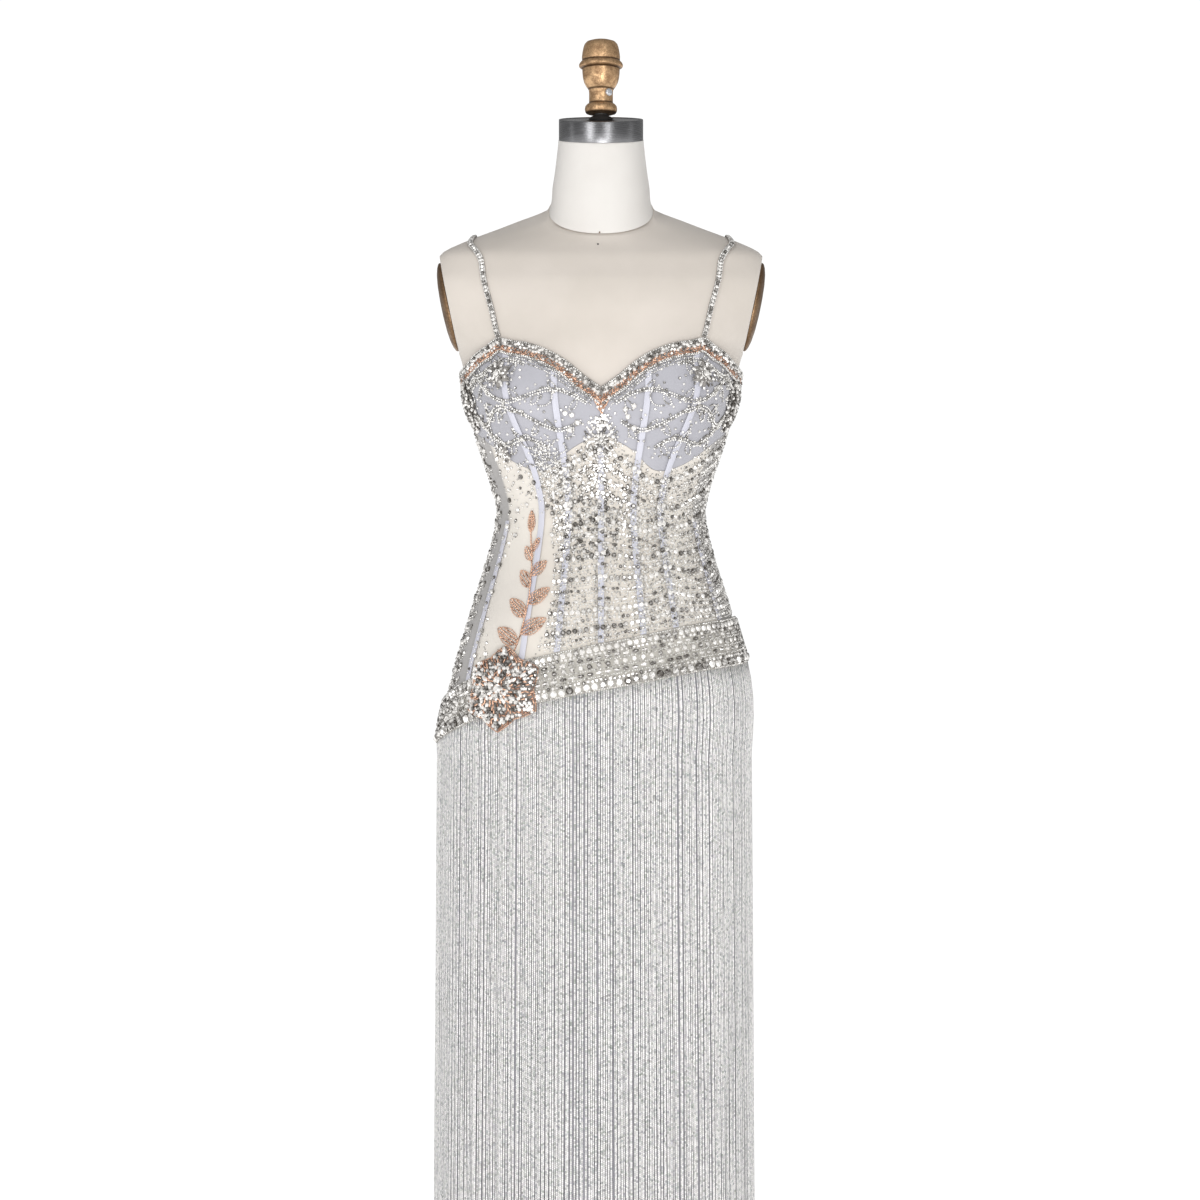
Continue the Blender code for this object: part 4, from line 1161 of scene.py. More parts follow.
def over_tapes(turn, height, lift):
    """Seats that step over the boning tapes."""
    turn, height = np.broadcast_arrays(np.asarray(turn, float), np.asarray(height, float))

    def near(middle):
        return smooth_step(2.6, 1.3, np.abs(turn - middle))
    rise = np.maximum(near(0.0) * (height < underbust(0)), np.maximum(near(INNER_BONE), near(-INNER_BONE)))
    for side in (-1, 1):
        rise = np.maximum(rise, near(side * outer_bone(height)))
        rise = np.maximum(rise, near(side * HIP_BONE) * (height < HIP_BONE_TOP))
    return seat(turn, height, lift + TAPE_STEP * rise)


def level_route(low, high, edge, steps=400):
    """Route between two turns along an edge's height."""
    turn = np.linspace(low, high, steps)
    return turn, np.broadcast_to(value_at(edge, turn), turn.shape)


def patch(turn, height, dx, dz):
    """Route of points given in metres from a centre on the body."""
    return turn + dx / arc_per_degree(turn, height), height + dz


def ring(turn, height, radius, count, shift):
    """Even places round a centre on the body, and their angles from the top."""
    angle = 2 * np.pi * (np.arange(count) + shift) / count
    return patch(turn, height, np.sin(angle) * radius, np.cos(angle) * radius), angle


def pick(parts, kept):
    return tuple(part[kept] for part in parts)


def packed(half_width, half_height, spacing, inside=None, jitter=0.25):
    """Points of a loose hexagonal packing, in metres, that lie inside a shape."""
    rows = np.arange(-half_height, half_height, spacing * 0.866)
    columns = np.arange(-half_width, half_width, spacing)
    dx, dz = np.meshgrid(columns, rows)
    dx = dx + (np.arange(len(rows)) % 2)[:, None] * spacing / 2
    dx = dx + chance.normal(0, jitter * spacing / 2, dx.shape)
    dz = dz + chance.normal(0, jitter * spacing / 2, dz.shape)
    kept = np.full(dx.shape, True) if inside is None else inside(dx, dz)
    return dx[kept], dz[kept]


def packed_oval(half_width, half_height, spacing, jitter=0.25):
    return packed(half_width, half_height, spacing,
                  lambda x, z: (x / half_width) ** 2 + (z / half_height) ** 2 < 1, jitter)


# Gown

def make_panels():
    """Cups and panels of the bodice, with the boning tapes on them."""
    tapes = make_tapes()

    def foot(turn):
        return underbust(turn) - SEAM_GAP / 2
    # Part, finish, slot, seams, lower edge, upper edge, columns, rows
    panels = (
        ("cup", LINING, "lining", (0, 90), lambda turn: underbust(turn) + SEAM_GAP / 2, neckline, 72, 40),
        ("front_centre", NUDE_MESH, "mesh", (0, INNER_BONE), panel_bottom, foot, 14, 60),
        ("front_mid", NUDE_MESH, "mesh", (INNER_BONE, outer_bone), panel_bottom, foot, 18, 60),
        ("front_side", SIDE_MESH, "side_mesh", (outer_bone, 90), panel_bottom, foot, 40, 60),
        ("back_side", SIDE_MESH, "side_mesh", (90, 135), panel_bottom, BACK_TOP, 36, 70),
        ("back_centre", SIDE_MESH, "side_mesh", (135, 180), panel_bottom, BACK_TOP, 36, 70),
    )
    for part, look, slot, seams, low, high, columns, rows in panels:
        for label, side in SIDES:
            node_name = f"{part}_{label}"
            piece, cut = cloth(f"{part}_cloth_{label}", between(*seams, side), low, high, columns, rows,
                               PANEL_LIFT, PANEL_WALL, look, slot, node_name)


def make_tapes():
    """Boning tapes, each with the panel that carries it."""
    def crown(u, turn, height):
        return 0.0004 * (1 - (2 * u - 1) ** 2)

    def tape(label, side, route, top, carrier):
        def span(height):
            middle = side * value_at(route, height)
            half = TAPE_WIDTH / 2 / arc_per_degree(middle, height)
            return middle - half, middle + half
        piece, _ = cloth(f"tape_{label}", span, lambda turn: band_top(turn) + 2 * FIT_GAP, top, 6, 60,
                         TAPE_LIFT, TAPE_WALL / 2, TAPE, "tape", f"bone_{label}", crown)
        return carrier, piece

    def under_trim(turn):
        return below_neckline(turn, TRIM_WIDTH) - 2 * FIT_GAP

    made = [tape("centre", 1, 0.0, underbust(0) - 0.004, "front_centre_right")]
    for label, side in SIDES:
        for bone, route, top, part in (("inner", INNER_BONE, under_trim, "front_mid"),
                                       ("outer", outer_bone, under_trim, "front_side"),
                                       ("hip", HIP_BONE, HIP_BONE_TOP, "front_side")):
            made.append(tape(f"{bone}_{label}", side, route, top, f"{part}_{label}"))
    return made


def make_neckline():
    """Ribbon and stones along the top of each cup."""
    # Model, width below the neckline, pitch, size, wander, lean, look, share of stones painted dark and of
    # stones painted bright
    rows = (
        ("seed", 0.0012, 0.0024, 0.0023, 0.0002, 0.0, "silver", 0.14, 0.5),
        ("chip", 0.0042, 0.0043, 0.0047, 0.0006, 0.5, "crystal", 0.22, 0.4),
        ("chip", 0.0075, 0.0040, 0.0043, 0.0007, 1.4, "crystal", 0.25, 0.38),
        ("bugle", 0.0102, 0.0032, 0.0038, 0.0006, 0.9, "rose", 0.4, 0.2),
        ("bugle", 0.0126, 0.0032, 0.0038, 0.0006, -0.5, "rose", 0.4, 0.2),
        ("bugle", 0.0145, 0.0030, 0.0036, 0.0005, 0.4, "rose", 0.35, 0.25),
        ("chip", 0.0118, 0.0080, 0.0036, 0.0018, 0.8, "crystal", 0.3, 0.4),
        ("seed", 0.0162, 0.0025, 0.0022, 0.0003, 0.0, "silver", 0.14, 0.5),
        ("seed", 0.0175, 0.0023, 0.0021, 0.0002, 0.0, "silver", 0.14, 0.7),
    )
    for label, side in SIDES:
        ribbon, cut = cloth(f"neckline_ribbon_{label}", between(0, 90, side),
                            lambda turn: below_neckline(turn, TRIM_WIDTH), neckline, 90, 6, OVERLAY_LIFT,
                            TRIM_WALL, BACKING, "stones", f"neckline_trim_{label}")
        low, high = (0.3, 89.5) if side > 0 else (-89.5, -0.3)
        work = Beadwork()
        for kind, width, pitch, size, wander, lean, look, dark, bright in rows:
            route = level_route(low, high, lambda turn, w=width: below_neckline(turn, w))
            # The loosest row lies on the others
            raised = 0.0006 if wander > 0.001 else 0.0
            work.row(kind, route, pitch, size, OVERLAY_LIFT + TRIM_WALL + raised, wander, lean, look=look,
                     stretch=(1, 0.42, 0.42) if kind == "bugle" else (1, 1, 1), dark=dark, bright=bright)
        stones = work.finish(f"neckline_stones_{label}")


def make_straps():
    """Strap with a row of stones between two rows of beads."""
    for label, side in SIDES:
        def along_strap(share, side=side):
            turn, height = curve_at(STRAP_ROUTE, share * (len(STRAP_ROUTE) - 1))
            return side * turn, height

        def strap_seat(share, lift):
            point, normal, around = skin_seat(*along_strap(share), lift)
            ahead = unit(form_point(*along_strap(np.minimum(share + 0.005, 1)))
                         - form_point(*along_strap(np.maximum(share - 0.005, 0))))
            return point, normal, around, unit(np.cross(ahead, normal))
        strap, u, v = grid(f"strap_ribbon_{label}", 4, 110)
        point, _, _, across = strap_seat(v, STRAP_LIFT)
        set_points(strap, point + across * (STRAP_WIDTH * (u - 0.5))[:, None])
        map_cloth(strap, u * 3, v)
        apply(strap, "SOLIDIFY", thickness=STRAP_WALL, offset=1)
        shade(strap, CLOTH_ANGLE)
        settle(strap, BACKING, "stones", f"strap_{label}")
        work = Beadwork()
        lift = STRAP_LIFT + STRAP_WALL
        work.row("round", along_strap(np.linspace(0.002, 0.998, 600)), 0.0048, 0.0044, lift, seats=skin_seat,
                 dark=0.3, bright=0.5)
        point, normal, around, across = strap_seat(np.linspace(0.002, 0.998, 230), lift)
        for edge in (-0.0026, 0.0026):
            work.lay("seed", (point + across * edge, normal, around), 0.0018, "silver")
        work.finish(f"strap_stones_{label}")


def lay_rosette(work, turn, height, lift, radius, petals):
    """Flower of navettes round a centre stone, with beads between its petals."""
    work.lay("round", seat([turn], height, lift + radius * 0.22), radius * 0.46)
    # Share of the radius, size, model, count, shift
    rings = (
        (0.40, 0.42, "navette", petals, 0.0), (0.80, 0.46, "navette", petals, 0.5),
        (0.62, 0.26, "chip", petals, 0.5), (1.02, 0.22, "chip", petals, 0.0),
        (0.26, 0.14, "seed", 2 * petals, 0.0),
    )
    for share, size, kind, count, shift in rings:
        places, angle = ring(turn, height, radius * share, count, shift)
        work.lay(kind, seat(*places, lift + radius * 0.24 * (1 - share)), radius * size,
                 "silver" if kind == "seed" else "crystal", spin=np.pi / 2 - angle, dark=0.2, bright=0.5)


def make_rosettes():
    over_tape = TAPE_LIFT + TAPE_WALL + 2 * FIT_GAP
    # Node, turn, height, radius, petals, lift
    flowers = (
        ("rosette_left", -35.3, 1.212, 0.0152, 8, over_tape),
        ("rosette_right", 35.3, 1.212, 0.0152, 8, over_tape),
        ("rosette_low", -48, 1.1266, 0.0112, 7, OVERLAY_LIFT),
    )
    for name, turn, height, radius, petals, lift in flowers:
        dress(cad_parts[name], BACKING)
        work = Beadwork()
        lay_rosette(work, turn, height, lift + 0.0016, radius, petals)
        work.finish(f"{name}_stones")


def make_side_clusters():
    """Crusted stones under the arms, and rows of stones down the sides."""
    wide, tall, crown = 0.013, 0.028, 0.005
    lift = OVERLAY_LIFT - 0.0012
    for label, side in SIDES:
        dress(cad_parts[f"side_cluster_{label}"], BACKING)
        work = Beadwork()
        dx, dz = packed(1.5 * wide, 1.2 * tall, 0.0040,
                        lambda x, z: (x / wide) ** 2 / 2.2 + (z / tall) ** 2 / 1.4 < 1)
        dome = crown * np.maximum(0, 1 - ((dx / wide) ** 2 + (dz / tall) ** 2)) ** 0.5
        work.scatter("chip", patch(side * 72, 1.184, dx, dz), 0.0048, OVERLAY_LIFT + 0.0004 + dome, dark=0.42,
                     bright=0.38)

        def under_trim(turn, height):
            return height < neckline(turn) - TRIM_WIDTH - 0.001
        for number in range(9):
            turn = side * (79 + 3.0 * number)
            heights = np.linspace(float(band_top(turn)) + 0.004, 1.205 - 0.004 * number, 300)
            route = (turn + 1.2 * np.sin(heights * 60 + number), heights)
            if number % 2:
                work.row("seed", route, 0.0034, 0.0021, lift, 0.0006, look="silver", keep=under_trim)
            else:
                work.row("chip", route, 0.0058, 0.0042, lift, 0.0012, 0.7, keep=under_trim, dark=0.3)
        work.finish(f"side_stones_{label}")


def scroll(turn, height, side, start, sweep, radius, end_radius):
    """Route of a curl whose radius closes in as it turns."""
    share = np.linspace(0, 1, 80)
    angle = np.radians(start + sweep * share)
    reach = radius + (end_radius - radius) * share
    return patch(side * turn, height, side * np.sin(angle) * reach, np.cos(angle) * reach)


def make_cup_vines():
    """Fine vines, curls and leaves of silver beads on the cups."""
    # Start turn, start height, end turn, end height, wave in metres, waves, leaves
    vines = (
        (5, 1.178, 64, 1.204, 0.010, 1.5, 9), (7, 1.158, 74, 1.172, -0.011, 1.75, 10),
        (26, 1.222, 58, 1.216, 0.006, 1.0, 5), (22, 1.128, 60, 1.150, 0.007, 1.25, 6),
    )
    # Turn, height, start angle, sweep, radius
    curls = (
        (20, 1.190, 150, 300, 0.0150), (45, 1.168, -40, 330, 0.0130), (44, 1.207, 190, -310, 0.0120),
        (62, 1.190, 30, 320, 0.0130), (30, 1.140, 200, -300, 0.0100),
    )
    lift = OVERLAY_LIFT - 0.0010
    leaf_length = 0.017

    def on_cup(turn, height):
        inner = (height < below_neckline(turn, TRIM_WIDTH + 0.001)) & (height > underbust(turn) - 0.016)
        return inner & (np.abs(turn) > 1.5) & (np.abs(turn) < 86)

    for label, side in SIDES:
        work = Beadwork()

        def beads(route, pitch=0.0025, size=0.0024, wander=0.0001, keep=on_cup, work=work):
            work.row("seed", route, pitch, size, lift, wander, keep=keep, seats=over_tapes, look="silver",
                     bright=0.55, dark=0.25)
        for start, foot, end, head, wave, waves, leaves in vines:
            def vine(share, path=(start, foot, end, head, wave, waves)):
                start, foot, end, head, wave, waves = path
                swing = wave * np.sin(2 * np.pi * waves * share)
                return side * (start + (end - start) * share), foot + (head - foot) * share + swing
            turn, height = vine(np.linspace(0, 1, 200))
            for apart in (0.0, 0.0030):
                beads((turn, height + apart), 0.0030, 0.0029)
            for number in range(leaves):
                angle = math.radians(40 if number % 2 else 140)
                turn, height = vine((number + 0.5) / leaves)
                share = np.linspace(0, 1, 40)
                for bulge in (0.26, -0.10):
                    along, across = leaf_length * share, bulge * leaf_length * np.sin(np.pi * share)
                    dx = math.sin(angle) * along + math.cos(angle) * across
                    dz = math.cos(angle) * along - math.sin(angle) * across
                    beads(patch(turn, height, side * dx, dz))
        for turn, height, start, sweep, radius in curls:
            beads(scroll(turn, height, side, start, sweep, radius, 0.003))
        for width in (0.0200, 0.0235):
            route = level_route(side * 3, side * 32, lambda turn, w=width: below_neckline(turn, w))
            beads(route, 0.0027, wander=0.0003, keep=None)
        turn, height = patch(side * 40, 1.175, *packed(0.115, 0.080, 0.0125, jitter=0.9))
        places = pick((turn, height), on_cup(turn, height) & (side * turn > 2))
        work.scatter("chip", places, 0.0034, lift, over_tapes, dark=0.05, bright=0.7)
        work.finish(f"cup_vines_{label}")


def make_centre_flower():
    """Flower of stones at the centre front, hung from the neckline's point by a short crusted stem."""
    work = Beadwork()
    lift = OVERLAY_LIFT - 0.0008
    lay_rosette(work, 0.0, FLOWER_HEIGHT, lift, 0.0150, 9)
    lay_rosette(work, 0.0, FLOWER_HEIGHT, lift + 0.0006, 0.0085, 7)
    # Radius, size, count, shift
    for radius, size, count, shift in ((0.0165, 0.0050, 16, 0.5), (0.0200, 0.0038, 20, 0.0),
                                       (0.0232, 0.0030, 24, 0.5)):
        places, angle = ring(0.0, FLOWER_HEIGHT, radius, count, shift)
        work.lay("round", seat(*places, lift), size, spin=np.pi / 2 - angle, dark=0.1, bright=0.6)
    # Crowded stones above and below the flower: middle height, half width, half height, spacing, size
    for height, wide, tall, spacing, size in ((1.1590, 0.0085, 0.0085, 0.0044, 0.0050),
                                              (1.1060, 0.0100, 0.0120, 0.0058, 0.0046)):
        work.scatter("round", patch(0.0, height, *packed_oval(wide, tall, spacing)), size, lift)
    dx, dz = packed(0.0110, 0.0105, 0.0025, lambda x, z: np.abs(x) < 0.55 * (z + 0.0115))
    work.lay("bugle", seat(*patch(0.0, STEM_HEIGHT, dx, dz), lift + 0.0010), 0.0036, "rose",
             spin=1.2 * np.sign(dx), stretch=(1, 0.45, 0.45))
    chips = packed(0.0100, 0.0090, 0.0052, lambda x, z: np.abs(x) < 0.5 * (z + 0.0100))
    work.scatter("chip", patch(0.0, STEM_HEIGHT, *chips), 0.0038, lift + 0.0022)
    # Large stones beside the flower: turn, height
    for turn, height in ((-13, 1.168), (-10.6, 1.166), (-12.0, 1.150), (-8.8, 1.158), (9.8, 1.164),
                         (12.5, 1.152), (8.6, 1.172), (11.6, 1.176)):
        work.lay("round", seat([turn], height, lift), 0.0066, dark=0.0, bright=1.0)
    work.finish("centre_flower_stones")


def clear_of_sprig(turn, height):
    """Whether a place is off the mesh that is kept clear round the leaf sprig."""
    return ((turn + 38) / 17) ** 2 + ((height - 0.958) / 0.100) ** 2 >= 1


def festoon(share, low, high):
    """Route of a row hung from stop to stop, at a share of the way down to the hip band."""
    stops = np.array(FESTOON_STOPS, float)
    turn = np.linspace(low, high, 500)
    top, foot = underbust(turn) - 0.006, band_top(turn) + 0.006
    at = np.clip(np.searchsorted(stops, turn, side="right") - 1, 0, len(stops) - 2)
    width = stops[at + 1] - stops[at]
    t = (turn - stops[at]) / width
    sag = FESTOON_SAG * width * 4 * t * (1 - t)
    fade = np.minimum(1.0, 4 * share * (1 - share) + 0.15)
    return turn, np.maximum(top + (foot - top) * share - sag * fade, foot - 0.002)


def make_festoons():
    """Rows of stones hung in festoons from stop to stop, over the midriff."""
    lift = OVERLAY_LIFT - 0.0012
    # Model, pitch, size, wander, lean, share of stones painted dark and of stones painted bright
    kinds = (
        ("round", 0.0068, 0.0062, 0.0003, 0.0, 0.25, 0.5), ("chip", 0.0042, 0.0040, 0.0004, 0.6, 0.14, 0.5),
        ("navette", 0.0094, 0.0072, 0.0003, 0.0, 0.3, 0.4), ("round", 0.0068, 0.0062, 0.0003, 0.0, 0.25, 0.5),
        ("round", 0.0052, 0.0044, 0.0005, 0.0, 0.2, 0.4),
    )
    # Name, first and last turn, how far apart the stones are
    for name, low, high, thin in (("left", -88, -70, 1.0), ("middle_left", -62, -22, 2.6),
                                  ("centre", -22, 32, 1.0), ("right", 32, 84, 1.0)):
        work = Beadwork()
        finish = {"seats": over_tapes, "keep": clear_of_sprig}
        for number in range(FESTOON_ROWS):
            turn, height = festoon((number + 0.5) / FESTOON_ROWS, low, high)
            kind, pitch, size, wander, lean, dark, bright = kinds[number % len(kinds)]
            work.row(kind, (turn, height), pitch * thin, size, lift, wander, lean, dark=dark, bright=bright,
                     **finish)
            for drop, pitch, size in ((0.0042, 0.0030, 0.0022), (0.0074, 0.0056, 0.0019)):
                work.row("seed", (turn, height - drop), pitch * thin, size, lift, 0.0004, look="silver",
                         bright=0.7, dark=0.1, **finish)
        if name == "centre":
            turn, height = patch(-6.0, WAIST, *packed_oval(0.046, 0.066, 0.0060, 0.7))
            kept = (height < underbust(turn) - 0.004) & clear_of_sprig(turn, height)
            work.scatter("chip", pick((turn, height), kept), 0.0046, lift, over_tapes, dark=0.35, bright=0.4)
        if name in ("centre", "right"):
            veil = packed((high - low) * GIRTH_PER_DEGREE / 2, 0.125, 0.0042, jitter=0.7)
            turn, height = patch((low + high) / 2, (underbust(0) + band_top(0)) / 2, *veil)
            kept = (height < underbust(turn) - 0.003) & (height > band_top(turn) + 0.003)
            places = pick((turn, height), kept & clear_of_sprig(turn, height))
            work.lay("seed", over_tapes(*places, lift), 0.0021, "silver", bright=0.3, dark=0.35)
        work.finish(f"festoon_stones_{name}")


def make_frost():
    """Silver beads scattered under the left cup, thinning downwards, with uneven rays among them."""
    work = Beadwork()
    lift = OVERLAY_LIFT - 0.0008
    count, rays = 420, 13
    places = patch(FROST_TURN, 1.112, chance.normal(0, 0.016, count), chance.normal(-0.012, 0.019, count))
    work.scatter("bugle", pick(places, clear_of_sprig(*places)), 0.0030, lift, look="silver",
                 stretch=(1, 0.5, 0.5), bright=0.5, dark=0.2)
    for number in range(rays):
        angle = math.radians(-100 + 200 * (number + chance.random()) / rays)
        reach = np.linspace(0.006, 0.016 + 0.018 * chance.random(), 12)
        bend = 0.004 * (chance.random() - 0.5) * (reach / 0.020) ** 2
        ray = patch(FROST_TURN, 1.109, np.sin(angle) * reach + bend, np.cos(angle) * reach)
        work.row("bugle", ray, 0.0034, 0.0028, lift, 0.0005, look="silver", stretch=(1, 0.55, 0.55),
                 seats=over_tapes, bright=0.5, dark=0.15)
    work.finish("frost_beads")


def make_sprig():
    """Leaf sprig of rose-gold bugles that rises from the brooch."""
    work = Beadwork()
    lift = OVERLAY_LIFT - 0.0006
    share = np.linspace(0, 1, 60)
    stem_x = 0.010 * np.sin(np.pi * share * 1.2) - 0.004 * share

    def lay_line(kind, dx, dz, pitch, size, wander=0.0, lean=0.0, **finish):
        work.row(kind, patch(SPRIG_TURN, SPRIG_FOOT, dx, dz), pitch, size, lift, wander, lean, over_tapes,
                 look="rose", **finish)
    lay_line("bugle", stem_x, SPRIG_RISE * share, 0.0034, 0.0036, 0.0001, stretch=(1, 0.45, 0.45))
    # Leaves: share of the stem, side, length, half width, lean from the stem in degrees
    leaves = (
        (0.06, -1, 0.036, 0.0085, 62), (0.14, 1, 0.033, 0.0085, 58), (0.28, -1, 0.034, 0.0080, 55),
        (0.38, 1, 0.030, 0.0075, 52), (0.52, -1, 0.028, 0.0070, 48), (0.61, 1, 0.025, 0.0065, 46),
        (0.74, -1, 0.021, 0.0055, 42), (0.81, 1, 0.019, 0.0050, 38), (0.97, 1, 0.026, 0.0060, -4),
    )
    for at, side, length, half, lean in leaves:
        start = np.array((np.interp(at, share, stem_x), SPRIG_RISE * at))
        angle = math.radians(lean * side)
        along = np.array((math.sin(angle), math.cos(angle)))
        across = np.array((along[1], -along[0]))
        lines = int(2 * half / 0.0029)
        for number in range(lines + 1):
            offset = -half + 2 * half * number / lines
            u = np.linspace(0.03, 0.97, 40)
            inside = leaf_width(u, half) > abs(offset)
            if inside.sum() < 4:
                continue
            spots = start + along * (length * u[inside])[:, None] + across * offset
            vein = 0.55 * np.sign(offset) if abs(offset) > 0.0006 else 0.0
            lay_line("bugle", *spots.T, 0.0029, 0.0033, 0.0001, -vein, stretch=(1, 0.5, 0.5), dark=0.12,
                     bright=0.6)
        for edge in (-1, 1):
            rim = edge * leaf_width(share, half)
            spots = start + along * (length * share)[:, None] + across * rim[:, None]
            lay_line("seed", *spots.T, 0.0021, 0.0018, bright=0.7, dark=0.05)
    work.finish("rose_sprig")


def leaf_width(share, half):
    """Half width of a leaf at a share of its length."""
    return half * np.sin(np.pi * share ** 0.85) ** 0.8


def make_band():
    """Slanted hip band: mesh with rows of stones and beads."""
    # Share of the height, model, pitch, size, look, share of stones painted dark and of stones painted bright
    rows = (
        (0.03, "seed", 0.0030, 0.0024, "silver", 0.1, 0.6),
        (0.115, "round", 0.0096, 0.0090, "crystal", 0.12, 0.45),
        (0.225, "chip", 0.0052, 0.0046, "crystal", 0.2, 0.4),
        (0.30, "seed", 0.0027, 0.0022, "silver", 0.1, 0.6),
        (0.38, "navette", 0.0104, 0.0086, "crystal", 0.35, 0.4),
        (0.46, "seed", 0.0027, 0.0022, "silver", 0.1, 0.6),
        (0.55, "round", 0.0104, 0.0060, "crystal", 0.1, 0.6),
        (0.63, "seed", 0.0027, 0.0022, "silver", 0.1, 0.6),
        (0.70, "navette", 0.0108, 0.0084, "crystal", 0.3, 0.4),
        (0.79, "chip", 0.0050, 0.0044, "crystal", 0.2, 0.5),
        (0.89, "round", 0.0078, 0.0070, "crystal", 0.05, 0.7),
        (0.975, "seed", 0.0030, 0.0024, "silver", 0.1, 0.6),
    )
    fillers = (0.17, 0.27, 0.34, 0.42, 0.50, 0.59, 0.66, 0.745, 0.84, 0.94)
    lift = OVERLAY_LIFT + BAND_WALL

    def off_brooch(turn, height):
        wrapped = (turn + 180) % 360 - 180
        return brooch_place(wrapped, height)[0] >= 0.86

    def line(middle, share):
        return level_route(middle - 89.6, middle + 89.6, lambda turn: band_edge(turn) + BAND_HEIGHT * share)
    for label, middle in HALVES:
        base, cut = cloth(f"hip_band_cloth_{label}", between(middle - 90, middle + 90), band_edge, band_top,
                          120, 12, OVERLAY_LIFT, BAND_WALL, BAND_NET, "stones", f"hip_band_{label}")
        work = Beadwork()
        for share, kind, pitch, size, look, dark, bright in rows:
            work.row(kind, line(middle, share), pitch, size, lift, 0.0003, keep=off_brooch, look=look,
                     dark=dark, bright=bright)
        for share in fillers:
            work.row("seed", line(middle, share), 0.0050, 0.0019, lift, 0.0009, keep=off_brooch,
                     look="silver")
        ends = crusted_ends(middle)
        work.scatter("chip", pick(ends, off_brooch(*ends)), 0.0046, lift + 0.0008, dark=0.42, bright=0.35)
        stones = work.finish(f"hip_band_stones_{label}")


def crusted_ends(middle):
    """Crowded stones near the side seams, on one half of the hip band."""
    turns, heights = [], []
    count = 260
    for side_turn, reach in ((-90, 34), (90, 16)):
        turn = side_turn + reach * (chance.random(count) * 2 - 1) * chance.random(count) ** 0.5
        share = 0.06 + 0.88 * chance.random(count)
        kept = np.abs((turn - middle + 180) % 360 - 180) < 89.4
        turns.append(turn[kept])
        heights.append((band_edge(turn) + BAND_HEIGHT * share)[kept])
    return np.concatenate(turns), np.concatenate(heights)


def brooch_ridge(angle):
    """1 at the angles of the brooch's points and 0 in its notches."""
    return np.abs((angle / np.pi * BROOCH_POINTS) % 2 - 1)


def brooch_reach(angle):
    """Share of the brooch's size at an angle from its top."""
    return BROOCH_NOTCH + (1 - BROOCH_NOTCH) * brooch_ridge(angle) ** 1.3


def brooch_share(dx, dz):
    """Share of the brooch's size at which a place in metres from its centre lies, and its angle."""
    x, z = dx / BROOCH_HALF_WIDTH, dz / BROOCH_HALF_HEIGHT
    angle = np.arctan2(x, z)
    return np.hypot(x, z) / brooch_reach(angle), angle


def brooch_place(turn, height):
    dx = (turn - BROOCH_TURN) * arc_per_degree(BROOCH_TURN, BROOCH_HEIGHT)
    return brooch_share(dx, height - BROOCH_HEIGHT)


def brooch_patch(angle, share):
    return patch(BROOCH_TURN, BROOCH_HEIGHT, np.sin(angle) * share * BROOCH_HALF_WIDTH,
                 np.cos(angle) * share * BROOCH_HALF_HEIGHT)


def make_brooch():
    """Six-pointed star of stones on the hip band, edged with rose-gold beads."""
    dress(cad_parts["brooch"], BACKING)
    lift = OVERLAY_LIFT + 0.0028

    def dome(share):
        return BROOCH_CROWN * np.interp(share, (0.0, 0.55, 1.0), (1.0, 0.85, 0.35))
    work = Beadwork()
    dx, dz = packed(BROOCH_HALF_WIDTH, BROOCH_HALF_HEIGHT, 0.0044, lambda x, z: brooch_share(x, z)[0] < 0.97)
    share, angle = brooch_share(dx, dz)
    crown = dome(share) + 0.0014 * brooch_ridge(angle)
    seats = seat(*patch(BROOCH_TURN, BROOCH_HEIGHT, dx, dz), lift + crown)
    rose = chance.random(len(dx)) < 0.40
    spin = np.pi / 2 - angle + chance.normal(0, 0.5, len(dx))
    for mask, kind, size, look, stretch in ((~rose, "chip", 0.0056, "crystal", (1, 1, 1)),
                                            (rose, "bugle", 0.0050, "rose", (1, 0.4, 0.5))):
        work.lay(kind, pick(seats, mask), size, look, spin=spin[mask], stretch=stretch, dark=0.22,
                 bright=0.45)
    for petal in range(BROOCH_POINTS):
        middle = np.array([2 * np.pi * petal / BROOCH_POINTS])
        for step, size in ((0.20, 0.0085), (0.42, 0.0090), (0.66, 0.0095), (0.88, 0.0085)):
            work.lay("navette", seat(*brooch_patch(middle, step), lift + dome(step) + 0.0028), size,
                     spin=np.pi / 2 - middle, dark=0.2, bright=0.6)
    outline = np.linspace(0, 2 * np.pi, 700)
    for widen in (1.0, 0.94):
        route = brooch_patch(outline, widen * brooch_reach(outline))
        work.row("seed", route, 0.0021, 0.0021, lift + dome(1.0), look="rose", dark=0.1, bright=0.6)
    work.lay("round", seat([BROOCH_TURN], BROOCH_HEIGHT, lift + dome(0.0) + 0.0012), 0.0110, dark=0.0,
             bright=1.0)
    work.finish("brooch_stones")


def make_back_edge():
    """Bound edge of stones and beads along the top of the back."""
    work = Beadwork()
    for drop, kind, pitch, size, look in ((0.0015, "seed", 0.0025, 0.0023, "silver"),
                                          (0.0050, "chip", 0.0048, 0.0042, "crystal"),
                                          (0.0085, "seed", 0.0026, 0.0021, "rose")):
        work.row(kind, level_route(90.5, 269.5, BACK_TOP - drop), pitch, size, OVERLAY_LIFT - 0.0012, 0.0002,
                 look=look)
    work.finish("back_edge_stones")


# Skirt

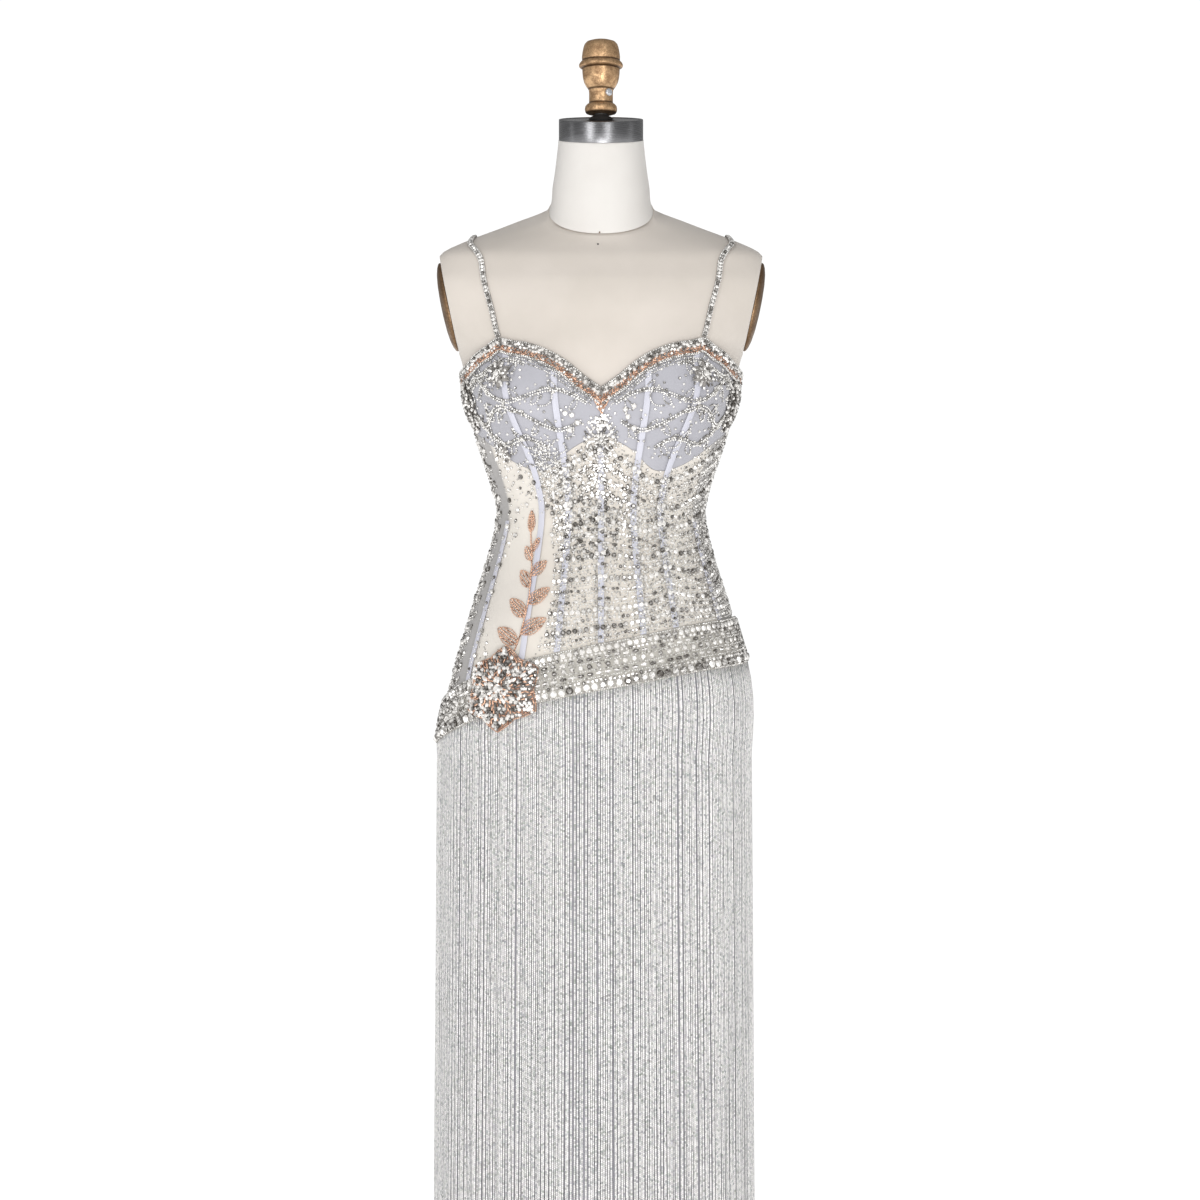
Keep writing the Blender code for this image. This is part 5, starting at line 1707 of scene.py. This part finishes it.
def make_lining(fringe):
    """Skirt lining in two halves, with soft upright folds towards the hem."""
    def folds(u, turn, height):
        angle = np.radians(turn)
        waves = 0.5 + 0.5 * np.sin(angle * 13 + 1.7 * np.sin(angle * 3))
        return -0.0016 * smooth_step(FALL_HEIGHT, HEM_HEIGHT, height) * waves
    for label, middle in HALVES:
        piece, cut = cloth(f"skirt_lining_cloth_{label}", between(middle - 90, middle + 90), HEM_HEIGHT,
                           lambda turn: panel_bottom(turn) - FIT_GAP, 110, 60, PANEL_LIFT, PANEL_WALL, SKIRT,
                           "skirt", f"skirt_lining_{label}", folds)


def make_fringe():
    """Strands of small beads, unevenly spaced, from under the hip band to near the floor."""
    count, corners = FRINGE_STRANDS, 4
    pitch = 360 / count
    clumps = np.cumsum(0.72 + 0.56 * chance.random(count) + 0.55 * (chance.random(count) < 0.10))
    turn = -180 + 360 * clumps / clumps[-1]
    room = np.diff(np.concatenate((turn, [turn[0] + 360]))) * arc_per_degree(turn, FALL_HEIGHT)
    width = np.minimum(0.0026, 0.96 * room) + chance.normal(0, 0.00005, count)
    top = (band_edge(turn) + 0.0010)[:, None]
    end = (FRINGE_END + 0.0015 * chance.random(count))[:, None]
    upper, lower = np.linspace(0, 1, 6)[:-1], np.linspace(0, 1, 12)
    heights = np.concatenate((top + (FALL_HEIGHT - top) * upper,
                              FALL_HEIGHT + (end - FALL_HEIGHT) * lower), axis=1)
    levels = heights.shape[1]
    fall = np.clip((FALL_HEIGHT - heights) / FALL_HEIGHT, 0, 1)
    phase = chance.random(count)[:, None] * 6.28
    sway = 0.22 * np.sin(fall * 9 + phase) * fall + chance.normal(0, 0.10, count)[:, None] * fall
    loose = (np.abs(turn - 78) < 4)[:, None] * 0.9 * np.sin(fall * 17 + phase) * fall ** 0.3
    turns = turn[:, None] + pitch * (sway + loose)
    layer = 0.0005 * chance.random(count)[:, None] + 0.0004 * np.sin(fall * 11 + phase) * fall
    point, normal, around = seat(turns.ravel(), heights.ravel(), (OVERLAY_LIFT + 0.0006 + layer).ravel())
    half = np.repeat(width / 2, levels)[:, None]
    points = np.stack((point - around * half, point + normal * half * 0.5, point + around * half,
                       point - normal * half * 0.4), axis=1).reshape(-1, 3)
    base = (np.arange(count)[:, None, None] * levels + np.arange(levels - 1)[None, :, None]) * corners
    side = np.arange(corners)[None, None, :]
    after = (side + 1) % corners
    quads = np.stack((base + corners + side, base + corners + after, base + after, base + side), -1)
    quads = quads.reshape(-1, corners)
    starts = np.arange(count)[:, None] * levels * corners
    caps = np.concatenate((starts + (0, 1, 2, 3), starts + (levels - 1) * corners + (3, 2, 1, 0)))
    faces = np.concatenate((quads, caps))

    piece = mesh_piece("bead_fringe", points, faces)
    strand = np.repeat(np.arange(count), levels * corners)
    places = np.stack((strand + 0.5, np.repeat(heights.ravel(), corners) + strand * 0.137), -1)
    uv = piece.data.uv_layers.new(name="strand")
    uv.data.foreach_set("uv", places[faces.ravel()].astype(np.float32).ravel())
    piece.data.polygons.foreach_set("use_smooth", np.ones(len(faces), bool))
    return settle(piece, FRINGE, "fringe", "fringe")


make_camera()
make_stage()
make_lights()
make_form()
make_cap()
make_finial()
make_screw()
make_arm_plates()
make_stand()
make_panels()
make_neckline()
make_straps()
make_rosettes()
make_side_clusters()
make_cup_vines()
make_centre_flower()
make_festoons()
make_frost()
make_sprig()
make_band()
make_brooch()
make_back_edge()
make_lining(make_fringe())
